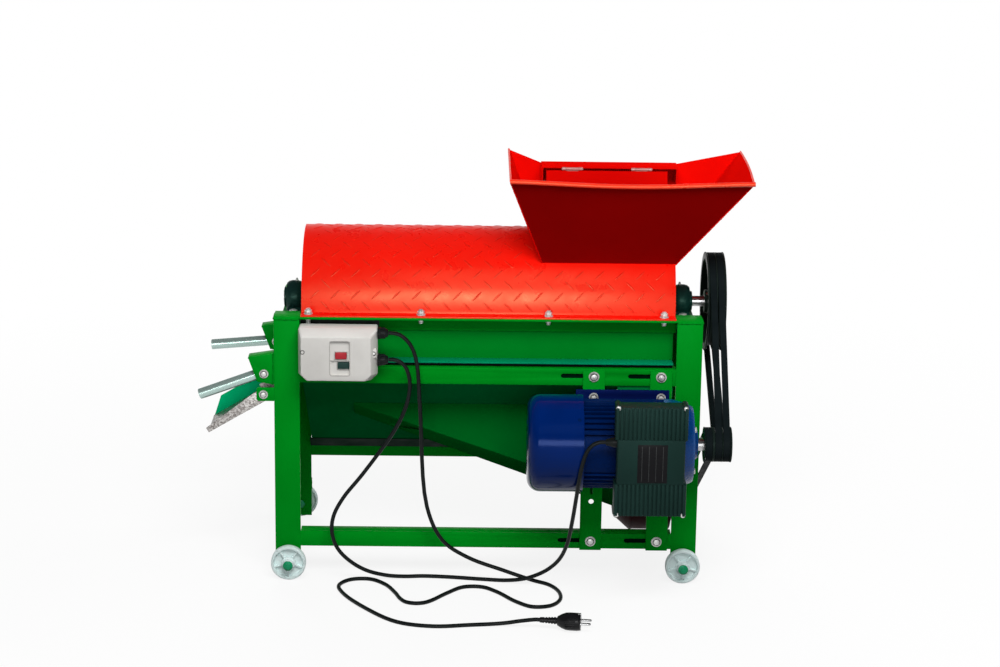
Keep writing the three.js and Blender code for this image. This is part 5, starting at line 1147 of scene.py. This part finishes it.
def makeMotor(look):
    seam = look["shield"]
    left, foot, finTop, right, coverRadius = (
        look[key] for key in ("left", "foot", "finTop", "right", "coverRadius"))
    y, z = look["y"], look["z"]
    fins = []
    for i in range(look["fins"]):
        turn = 360 * i / look["fins"] + 4
        near = abs(turn - 180)
        if near < look["bareAngle"]:
            continue
        fin = block(left + 4, seam - 5, 0, 1, 0, 1)
        for vert in fin.verts:
            high = finTop - 0.4 if vert.co.y > 0.5 else look["finRoot"] - 1.5
            wide = (0.9 if vert.co.y > 0.5 else 1.7) * (1 if vert.co.z > 0.5 else -1)
            vert.co.y, vert.co.z = high, wide
        spin = Matrix.Translation((0, y, z)) @ Matrix.Rotation(math.radians(turn), 4, "X")
        fins.append(moved(soften(fin, 0.35), spin))
    barrel = turned([(0, left - 12), (coverRadius - 2.4, left - 12),
                     (coverRadius - 2.4, left + 5.6), (look["finRoot"], left + 6.5),
                     (look["finRoot"], seam - 6), (0, seam - 6)], "x", y, z, 96)
    band = [(math.radians(a), 80.6) for a in range(156, 206, 4)]
    smooth = plate([(y + r * math.cos(a), z + r * math.sin(a)) for a, r in band]
                   + [(y + 74 * math.cos(a), z + 74 * math.sin(a)) for a, r in band[::-1]], "x", left + 5,
                   seam - 5)
    feet = []
    for way in (-1, 1):
        low, high = z + way * 38, z + way * 50
        feet.append(soften(block(foot[0] + 12, seam, look["footFront"], y + 20, low, high), 1.5))
    outline = rectangle(*foot)
    holes = [circle(x, h, 4.4, 16) for x in straps["centres"] for h in straps["footBolts"]]
    plateFoot = soften(plate(outline, "y", look["footFront"], look["footBack"], holes=holes), 0.7)
    plateFoot = carve(plateFoot, rod("x", y, z, coverRadius + 0.4, look["coverLeft"], left + 6.5, 96))
    padLeft, padFront, padLow, padHigh = look["pad"]
    pad = soften(block(padLeft, seam, padFront, y, padLow, padHigh), 2)
    shield = turned([(60, seam - 6.5), (finTop - 1, seam - 6.2),
                     (finTop, seam - 4.5), (finTop, seam + 11),
                     (finTop - 1.5, seam + 15), (finTop - 5.5, seam + 30),
                     (finTop - 11, seam + 44), (finTop - 14, seam + 48),
                     (62, right - 9.6), (36, right - 9.8), (30, right - 8), (27, right - 2),
                     (25, right - 0.4), (12.8, right - 0.4), (12.8, right - 16), (60, seam + 12)],
                    "x", y, z, 96)
    bolts = []
    for i in range(4):
        turn = math.radians(45 + 90 * i)
        bolts.append(hexagon("x", y + look["shieldBolt"] * math.cos(turn),
                             z + look["shieldBolt"] * math.sin(turn), 5.4, right - 10, right - 6))
    makePiece("motor_housing_cast", [(finBlue, [barrel, smooth, *fins, *feet, pad]), (footBlue, [plateFoot]),
                                     (shieldBlue, [shield]), (zinc, bolts)], replaces="motor_housing")
    outer = [(look["coverRound"] * math.sin(t), look["coverRound"] * (1 - math.cos(t))) for t in
             [math.radians(a) for a in range(0, 91, 9)]]
    start, edge, wall = look["coverLeft"], coverRadius, look["coverWall"]
    flat = edge - look["coverRound"]
    profile = [(10, start), (flat - 30, start), (flat - 28, start + 0.8),
               *[(flat + a, start + b) for a, b in outer], (edge, look["coverRight"] - 3),
               (edge - 0.2, look["coverRight"]), (edge - wall, look["coverRight"])]
    inner = [(flat + a - wall, start + b + wall * 0.4) for a, b in outer[::-1]]
    shell = turned([*profile, *inner, (10, start + wall)], "x", y, z, 128)
    grille = [soften(tube("x", y, z, r + 1.6, r - 1.6, start, start + 2.4, 64), 0.5) for r in (16, 24, 32)]
    for i in range(8):
        spin = Matrix.Rotation(math.radians(45 * i), 4, "X")
        spoke = soften(block(start + 0.1, start + 2.2, -1.6, 1.6, 6, flat - 20), 0.4)
        grille.append(moved(spoke, Matrix.Translation((0, y, z)) @ spin))
    screws = []
    for turn in (135, 225, 315, 45):
        spin = math.radians(turn)
        screws.append(moved(domed("z", 0, 0, 3.4, coverRadius - 0.4, 1.8, 1),
                            Matrix.Translation((look["coverRight"] - 8, y,
                                                z)) @ Matrix.Rotation(spin, 4, "X")))
    makePiece("motor_fan_cover_pressed", [(blue, [shell, *grille]), (finBlue, screws)],
              replaces="motor_fan_cover")


def makeStrap(name, x):
    look = straps
    half = look["width"] / 2
    outline = rectangle(x - half, x + half, look["bottom"], look["top"])
    holes = [circle(x, look["hole"], look["holeRadius"], 24),
             arc(x, look["hole"] + 27.5, 2.6, 0, 180, 8) + arc(x, look["hole"] + 17.5, 2.6, 180, 360, 8)]
    flat = soften(plate(outline, "y", look["front"], -stand["deep"], holes=holes), 0.7)
    hardware, rings = [], []
    for z in look["railBolts"]:
        head, ring = flangedHead(x, z, 10, look["front"], 5)
        rings += ring
        hardware += [*head, rod("y", x, z, look["bolt"], -stand["deep"], look["boltEnd"], 20),
                     hexagon("y", x, z, *look["nut"])]
    for z in look["footBolts"]:
        head, ring = flangedHead(x, z, 8.8, look["footHead"], 6)
        rings += ring
        hardware += [rod("y", x, z, look["bolt"], look["footEnd"], look["front"], 20), *head]
    makePiece(f"{name}_flat", [(green, [flat]), (zinc, hardware), (wornSteelAndCreaseShade, rings)], replaces=name)


makeMotor(motor)
makeStrap("motor_strap_left", straps["centres"][0])
makeStrap("motor_strap_right", straps["centres"][1])
print("motor made")

# Terminal box: ribs above and below a smooth middle that holds a bare plate
terminal = {"left": 229, "right": 360, "low": 198, "high": 403, "front": -382, "back": -342, "ribs": 17,
            "rib": 61, "waist": 4, "plate": (270, 324, 262, 334), "glandZ": 332, "glandY": -360,
            "glandStart": 213.2}


def makeTerminalBox(look):
    ribHigh = look["rib"]
    waist, back, front = look["waist"], look["back"], look["front"]
    left, right, low, high = look["left"], look["right"], look["low"], look["high"]
    greens = []
    shellOutline = [(left + waist, low + ribHigh - 2), (left, low + ribHigh), (left, low + 2),
                    (left + 2, low), (right - 2, low), (right, low + 2), (right, low + ribHigh),
                    (right - waist, low + ribHigh + 2), (right - waist, high - ribHigh - 2),
                    (right, high - ribHigh), (right, high - 2), (right - 2, high), (left + 2, high),
                    (left, high - 2), (left, high - ribHigh), (left + waist, high - ribHigh - 2),
                    (left + waist, low + ribHigh + 2)]
    greens.append(soften(plate(shellOutline, "y", back, front + 3.6), 1.2))
    middle = block(left + waist + 1, right - waist - 1, front + 0.6, front + 6,
                   low + ribHigh - 1, high - ribHigh + 1)
    greens.append(soften(middle, 1.6, 3))
    pitch = (right - left) / look["ribs"]
    for i in range(look["ribs"]):
        x = left + pitch * (i + 0.5)
        for start, end in ((low + 0.6, low + ribHigh), (high - ribHigh, high - 0.6)):
            rib = block(x - pitch * 0.36, x + pitch * 0.36, front + 0.2, front + 6, start, end)
            greens.append(soften(rib, 1.1, 3))
    greens.append(soften(block(left + 6, right - 6, back - 1, back + 3, low + 6, high - 6), 1))
    x0, x1, z0, z1 = look["plate"]
    label = soften(block(x0, x1, front + 0.1, front + 2, z0, z1), 0.3)
    lines = []
    for i in range(4):
        x = x0 + 8 + i * (x1 - x0 - 16) / 3
        lines.append(soften(block(x - 0.35, x + 0.35, front, front + 0.6, z0 + 3, z1 - 3), 0.1))
    screws = []
    for x in (left + 5, right - 5):
        for z in (low + 2, high - 2):
            greens.append(soften(rod("y", x, z, 5.6, front + 4, back, 24), 0.8))
            screws += [domed("y", x, z, 4.4, front + 4, 2.6, -1)]
    rings = [(4.1, look["glandStart"]), (5.4, look["glandStart"]), (6.4, look["glandStart"] + 3),
             (8.4, left - 5), (9.6, left - 1), (9.6, left + 6), (4.1, left + 6)]
    soft = turned(rings, "x", look["glandY"], look["glandZ"], 32)
    makePiece("terminal_box_ribbed", [(boxGreen, greens), (zinc, screws), (nameplate, [label]),
                                      (boxLine, lines), (cordRubber, [soft])], replaces="terminal_box")


makeTerminalBox(terminal)

# Switch box: chamfered cover over a base, a window with two keys, two screws and two glands
switch = {"left": -352, "right": -205, "low": 398, "high": 497, "back": -165, "front": -220, "chamfer": 12,
          "chamferDeep": 25, "window": (-292, -256, 412, 477), "recess": 5, "keys": (21, 12.5, 4, 16),
          "stop": (-272, 449), "start": (-267.5, 430.5), "ledge": 438.6, "shadePlateY": (-137, -135.2),
          "keyhole": (10.9, 6.6), "collar": (13.4, 6.9), "collarAt": 6.9, "room": (14.5, 7.5), "holeBack": 22}


def roundedBox(x0, x1, z0, z1, radius, steps=6):
    left, right, low, high = x0 + radius, x1 - radius, z0 + radius, z1 - radius
    return [point for i, (x, z) in enumerate(((right, high), (left, high), (left, low), (right, low)))
            for point in arc(x, z, radius, 90 * i, 90 * i + 90, steps)]


def makeSwitchBox(look):
    front = look["front"]
    left, right, low, high = look["left"], look["right"], look["low"], look["high"]
    seam = front + look["chamferDeep"]

    def ring(y, cut, notch):
        x0, x1, z0, z1 = left + cut * 0.5, right - cut, low + cut * 0.25, high - cut
        return [(x0, y, z0 + notch), (x0 + notch, y, z0), (x1 - notch, y, z0), (x1, y, z0 + notch),
                (x1, y, z1 - notch * 0.25), (x1 - notch * 0.25, y, z1), (x0 + notch * 0.25, y, z1),
                (x0, y, z1 - notch * 0.25)]

    base = soften(loft([ring(look["back"], 0.6, 11), ring(seam + 0.6, 0.6, 11)]), 1.0)
    lid = soften(loft([ring(seam - 0.2, 0, 12), ring(seam - 4, 0, 12),
                       ring(front + 0.3, look["chamfer"], 11)]), 1.5, 3)
    x0, x1, z0, z1 = look["window"]
    wells = [plate(roundedBox(x0, x1, z0, z1, 4), "y", front - 8, front + look["recess"])]

    def keyRoom(size, start, end):
        wide, tall = look[size]
        return [block(x - wide, x + wide, front + start, front + end, z - tall, z + tall)
                for x, z in (look["stop"], look["start"])]

    # Tools that cross each other cut one after the other, because together they leave the face whole
    for tools in (wells, keyRoom("keyhole", -6, look["holeBack"]),
                  keyRoom("collar", look["collarAt"], look["holeBack"])):
        lid = carve(lid, *tools)
    base = carve(base, *keyRoom("room", 6, 45))
    rim = plate(roundedBox(x0 - 1.6, x1 + 1.6, z0 - 1.6, z1 + 1.6, 5), "y", front - 0.3, front + 1.4,
                holes=[roundedBox(x0, x1, z0, z1, 4)])
    side = soften(block(x1 + 4.6, x1 + 5.4, front + 0.1, front + 1, z0 - 1, z1 + 2), 0.2)
    ledge = soften(block(x0 + 0.5, x1 - 0.5, front + 2.2, front + 5.2, look["ledge"], look["ledge"] + 1.6),
                   0.5)
    frames = []
    holeWide, holeHigh = look["keyhole"]
    for x, z in (look["stop"], look["start"]):
        hole = roundedBox(x - holeWide, x + holeWide, z - holeHigh, z + holeHigh, 0.5)
        trim = plate(roundedBox(x - 12.4, x + 12.4, z - 8, z + 8, 1), "y", front + 3.6, front + 5.4,
                     holes=[hole])
        frames.append(soften(trim, 0.3))
    screws, dark = [], []
    for x, z, y in ((left + 9, 455.5, front + 3.8), (right - 7, 452, front + 11.4)):
        dark += [soften(tube("y", x, z, 4.2, 2.8, y - 4, y + 3, 28), 0.4)]
        screws += [soften(rod("y", x, z, 2.8, y - 3.2, y + 2, 24), 0.3)]
    lug = soften(block(right - 13, right - 1.5, front + 8.6, front + 20, 444, 461), 1.2)
    # A dark plate behind the box's top is painted shade for the recess between the box and the top rail
    shade = [soften(block(left + 1, right + 1, *look["shadePlateY"], high - 18, high + 6.8), 0.3)]
    glands = []
    for height in (glandLook["mains"], glandLook["motor"]):
        glands += makeGland(height, glandLook)
    makePiece("switch_box_moulded", [(paleGrey, [base, lid, side, lug]),
                                     (windowGrey, [soften(rim, 0.4), ledge, *frames]), (zinc, screws),
                                     (boxLine, dark), (cordRubber, glands + shade)], replaces="switch_box")


def makeKey(name, body, material, at, look):
    x, z = at
    width, height, proud, deep = look["keys"]
    front = look["front"] + look["recess"] - proud
    cap = plate(roundedBox(x - width / 2, x + width / 2, z - height / 2, z + height / 2, 1.1), "y", front,
                front + deep)
    skirt = block(x - width / 2 - 2.4, x + width / 2 + 2.4, front + 7.4, front + 8.8, z - height / 2,
                  z + height / 2)
    grip = [soften(block(x - width / 2 + 3, x + width / 2 - 3, front - 0.01, front + 0.6, z + d - 0.5,
                         z + d + 0.5), 0.3) for d in (-2.4, 0, 2.4)]
    makePiece(f"{name}_moulded", [(material, [soften(cap, 0.8, 3), soften(skirt, 0.3), *grip])], body,
              replaces=name)


makeSwitchBox(switch)
makeKey("stop_button", "stop_key", stopRed, switch["stop"], switch)
makeKey("start_button", "start_key", startGreen, switch["start"], switch)
print("switch box made")

# Pulleys and the belts in their grooves
drive = {"left": 415, "right": 450, "planes": (425, 440), "fanPlane": 407.5, "drum": (0, 506, 95),
         "motor": (-258, 298, 33), "fan": (30, 142, 30), "beltTop": 12, "beltLow": 7, "beltHigh": 8,
         "seat": 1, "room": 0.6, "floor": 2, "rim": 14, "hub": 22, "fanFlange": 8.25}


def vGroove(radius, plane, look):
    top, low = look["beltTop"] / 2 + look["room"], look["beltLow"] / 2 + look["room"]
    floor = radius - look["beltHigh"] - look["room"] - look["floor"]
    return [(radius - 0.8, plane - top - 0.3), (radius - 1.2, plane - top), (floor + 0.6, plane - low),
            (floor, plane - low + 0.8), (floor, plane + low - 0.8), (floor + 0.6, plane + low),
            (radius - 1.2, plane + top), (radius - 0.8, plane + top + 0.3)]


def makeDrumPulley(look):
    y, z, radius = look["drum"]
    left, right, middle = look["left"], look["right"], (look["left"] + look["right"]) / 2
    inner, hub = radius - look["rim"], look["hub"]
    faces = [point for plane in look["planes"] for point in vGroove(radius, plane, look)]
    profile = [(10.3, left), (hub - 1, left), (hub, left + 1), (hub + 1.5, middle - 6.5),
               (hub + 4, middle - 5.2), (inner - 4, middle - 4.6), (inner - 1, middle - 6),
               (inner, left + 1.5), (inner + 1.2, left), (radius - 1, left), (radius, left + 0.9), *faces,
               (radius, right - 0.9), (radius - 1, right), (inner + 1.2, right), (inner, right - 1.5),
               (inner - 1, middle + 6), (inner - 4, middle + 4.6), (hub + 4, middle + 5.2),
               (hub + 1.5, middle + 6.5), (hub, right - 1), (hub - 1, right), (10.3, right)]
    wheel = turned(profile, "x", y, z, 120)
    screw = moved(hexagon("z", left + 5.5, 0, 3.4, hub - 1, hub + 3),
                  Matrix.Translation((0, y, z)) @ Matrix.Rotation(math.radians(40), 4, "X"))
    key = soften(block(left - 0.6, right + 0.3, -2.5, 2.5, 9.6, 12.4), 0.4)
    moved(key, Matrix.Translation((0, y, z)))
    makePiece("drum_pulley_cast", [(pulleyBlack, [wheel]), (steel, [key, screw])], "drum_set",
              replaces="drum_pulley")


def makePlainPulley(name, body, at, bore, left, right, planes, look):
    y, z, radius = at
    grooves = [point for plane in planes for point in vGroove(radius, plane, look)]
    profile = [(bore, left), (radius - 1, left), (radius, left + 0.8), *grooves, (radius, right - 0.8),
               (radius - 1, right), (radius - 3.5, right), (radius - 5, right - 1.6), (bore + 6, right - 1.6),
               (bore + 5, right), (bore, right)]
    wheel = turned(profile, "x", y, z, 96)
    makePiece(f"{name}_cast", [(pulleyBlack, [wheel])], body, replaces=name)


def beltLoop(first, second, shrink, steps=(56, 30)):
    (y0, z0, r0), (y1, z1, r1) = first, second
    r0, r1 = r0 - shrink, r1 - shrink
    dy, dz = y1 - y0, z1 - z0
    span = math.degrees(math.acos((r0 - r1) / math.hypot(dy, dz)))
    heading = math.degrees(math.atan2(dz, dy))
    return (arc(y0, z0, r0, heading + span, heading - span + 360, steps[0])
            + arc(y1, z1, r1, heading - span, heading + span, steps[1]))


def makeBelt(name, plane, first, second, look):
    half, low, high, seat = look["beltTop"] / 2, look["beltLow"] / 2, look["beltHigh"], look["seat"]
    section = [(0.5, -half), (0, -half + 0.6), (0.15, 0), (0, half - 0.6), (0.5, half),
               (high - 0.6, low + 0.1), (high, low - 0.5), (high, -low + 0.5), (high - 0.6, -low - 0.1)]
    loops = [[(plane + across, y, z) for y, z in beltLoop(first, second, seat + depth)]
             for depth, across in section]
    makePiece(f"{name}_rubber", [(beltRubber, [loft([list(ring) for ring in zip(*loops)], closed=True)])],
              replaces=name)


makeDrumPulley(drive)
flange = drive["fanFlange"]
makePlainPulley("motor_pulley", "motor_set", drive["motor"], 12.3, drive["fanPlane"] - flange, drive["right"],
                (drive["fanPlane"], *drive["planes"]), drive)
makePlainPulley("fan_pulley", "fan_set", drive["fan"], 8.3, drive["fanPlane"] - flange, drive["fanPlane"]
                + flange, (drive["fanPlane"],), drive)
for beltName, plane in zip(("drive_belt_inner", "drive_belt_outer"), drive["planes"]):
    makeBelt(beltName, plane, drive["drum"], drive["motor"], drive)
makeBelt("fan_belt", drive["fanPlane"], drive["motor"], drive["fan"], drive)
print("pulleys and belts made")

# Fan casing behind the motor, and the air duct and slide that it blows over
fan = {"y": 30, "z": 142, "radius": 104, "left": 280, "right": 360, "cone": 30, "coneRadius": 78, "sheet": 3,
       "inlet": 46, "bearing": 16, "shaft": 8.6, "foot": (-22, 82, 89, 92), "footEnd": 395.7, "footBolt": 385,
       "boltCircle": 91, "duct": (-70, -36)}


def makeFanCasing(look):
    shaft, inlet = look["shaft"], look["inlet"]
    y, z, radius, sheet = look["y"], look["z"], look["radius"], look["sheet"]
    left, right, cone = look["left"], look["right"], look["cone"]
    profile = [(shaft + 8, left - cone), (look["coneRadius"] - 2, left - cone),
               (look["coneRadius"], left - cone + 1), (radius - 1, left - 1), (radius, left + 1),
               (radius, right - 1.5), (radius - 1.5, right), (inlet, right), (inlet, right - sheet),
               (radius - sheet, right - sheet), (radius - sheet, left + 1),
               (look["coneRadius"] - sheet, left - cone + sheet), (shaft + 8, left - cone + sheet)]
    shell = turned(profile, "x", y, z, 96)
    y0, y1 = look["duct"]
    shell = carve(shell, block(left - cone - 20, left - 20, y0, y1, 0, z + radius))
    bands = [soften(tube("x", y, z, radius + 1.6, radius - 0.5, x - 2, x + 2, 96), 0.6)
             for x in (left + 3, right - 4)]
    bridge = [soften(block(right - sheet, right + 0.3, y - 8, y + 8, z - inlet - 6, z + inlet + 6), 0.6),
              soften(tube("x", y, z, look["bearing"], shaft, right - sheet, right + 16, 40), 1.0),
              soften(tube("x", y, z, look["bearing"], shaft, left - cone - 0.2, left - cone + 16, 40), 1.0)]
    a, b, low, high = look["foot"]
    foot = [soften(block(right - 2.5, look["footEnd"], a, b, low, high), 0.5)]
    bolts = [hexagon("x", u, v, 4.6, right, right + 2.6) for u, v in circle(y, z, look["boltCircle"], 10, 10)]
    bolts += [hexagon("z", look["footBolt"], side, 7, high, high + 4.5) for side in (a + 14, b - 14)]
    makePiece("fan_casing_sheet", [(fanRedPaintedShade, [shell, *bands, *bridge, *foot]), (zinc, bolts)],
              replaces="fan_casing")


slide = {"left": -347, "right": 244, "front": -161, "flangeTop": 390, "frontZ": 385, "rearZ": 169,
         "rear": 135, "lip": 175, "sheet": 3, "drop": 3.72, "lipLow": 166, "flangeLow": 360,
         "rivets": (-300, -180, -60, 60), "rivetZ": 386.5}
slideRise = (slide["frontZ"] - slide["rearZ"]) / (slide["rear"] - slide["front"] - slide["sheet"])
duct = {"end": 249.7, "apex": -256, "ridge": -70, "back": -36, "band": 38, "bottom": 100, "apexHigh": 6}
panels = {"half": 347, "web": (128, 131), "low": 422, "top": 508, "foot": (128.2, 160), "footZ": (421, 424),
          "shadeStrip": (146, 150), "shadeStripZ": (414.3, 421.1)}


def slideAt(y):
    return slide["frontZ"] - slideRise * (y - slide["front"] - slide["sheet"])


def makeSlide(look):
    front = look["front"]
    drop, lipLow = look["drop"], look["lipLow"]
    foot = front + look["sheet"] + (look["frontZ"] - drop - lipLow) / slideRise
    outline = [(front, look["flangeTop"]), (front + look["sheet"], look["flangeTop"]),
               (front + look["sheet"], look["frontZ"]), (look["rear"], look["rearZ"]),
               (look["lip"], look["rearZ"]), (look["lip"], lipLow), (foot, lipLow),
               (front, slideAt(front) - drop)]
    sheet = soften(plate(outline, "x", look["left"], look["right"]), 0.8)
    rivets = [domed("y", x, look["rivetZ"], 2.6, front, 1.2, -1) for x in look["rivets"]]
    flange = soften(block(look["right"] - 1, -look["left"], front, front + 2.8, look["flangeLow"],
                          look["flangeTop"]), 0.5)
    # A dark strip under the slide's foot is painted shade, where little light reaches its underside near the
    # rear rail
    shadeStripAt = lambda y: (y, slideAt(y) - drop - 0.1)
    shadeStripTop, shadeStripLow = shadeStripAt(look["lip"] - 78), shadeStripAt(foot - 1)
    shadeStrip = plate([shadeStripTop, shadeStripLow, (shadeStripLow[0], shadeStripLow[1] - 1.6), (shadeStripTop[0], shadeStripTop[1] - 1.6)], "x",
                 look["left"] - 4, look["right"] - 1)
    makePiece("grain_slide_sheet", [(slideGreen, [sheet, flange, *rivets]), (slotShade, [shadeStrip])],
              replaces="grain_slide")


def makeDuct(look):
    end, apex, ridge, back, band = (look[k] for k in ("end", "apex", "ridge", "back", "band"))
    bottomEnd, apexHigh, drop = look["bottom"], look["apexHigh"], slide["drop"]

    def section(x, bottom, inset):
        front, rear = ridge + inset, back - inset
        roof = lambda y: slideAt(y) - drop - 0.3 - inset * 2
        return [(x, front, roof(front)), (x, front, min(bottom + band, roof(front) - apexHigh / 2) + inset),
                (x, rear, min(bottom, roof(rear) - apexHigh) + inset * 2), (x, rear, roof(rear))]

    apexBottom = slideAt(back) - drop - 0.3 - apexHigh
    outer = soften(loft([section(apex, apexBottom, 0), section(end, bottomEnd, 0)]), 0.9)
    inner = loft([section(apex + 6, apexBottom, 2), section(end + 20, bottomEnd, 2)])
    slot = block(apex + 70, end - 70, ridge + 6, back - 6, slideAt(ridge) - 60, 385)
    wedge = carve(outer, inner, slot)
    makePiece("air_duct_sheet", [(ductGreen, [wedge])], replaces="air_duct")


makeFanCasing(fan)
makeSlide(slide)
makeDuct(duct)


# Side panels under the hood, each with a painted highlight on its foot flange and a dark rubber strip between
# its foot and the rail as painted shade for that gap
def makePanels(look):
    half = look["half"]
    for name, way in (("side_panel_front", -1), ("side_panel_rear", 1)):
        web = soften(block(-half, half, *(way * y for y in look["web"]), look["low"], look["top"]), 0.6)
        foot = soften(block(0.2 - half, half - 0.2, *(way * y for y in look["foot"]), *look["footZ"]), 0.6)
        # The dark rubber strip is painted shade, closing the gap between the panel's foot and the rail so
        # that it renders dark
        shadeStrip = block(1 - half, half - 1, *(way * y for y in look["shadeStrip"]), *look["shadeStripZ"])
        makePiece(f"{name}_sheet", [(panelGreen, [web]), (panelFootHighlight, [foot]), (beltRubber, [shadeStrip])],
                  replaces=name)


makePanels(panels)
print("fan, slide, duct and panels made")

# The nodes that stay as they are get their finishes
keptFinishes = {green: ("cross_rail_left", "cross_rail_right", "lower_cross_rail_left",
                        "lower_cross_rail_right", "end_plate_left", "end_plate_right"),
                darkGreen: ("bearing_beam_left", "bearing_beam_right"),
                steel: ("drum_shaft", "motor_rotor", "fan_rotor"), wornSteelAndCreaseShade: ("drum", "concave_sieve")}
for material, names in keptFinishes.items():
    for name in names:
        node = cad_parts[name]
        node.data.materials.clear()
        node.data.materials.append(material)
finished = sum(keptFinishes.values(), ())
print("nodes without a finish:", [n for n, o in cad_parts.items()
                                  if not o.hide_render and n not in finished])
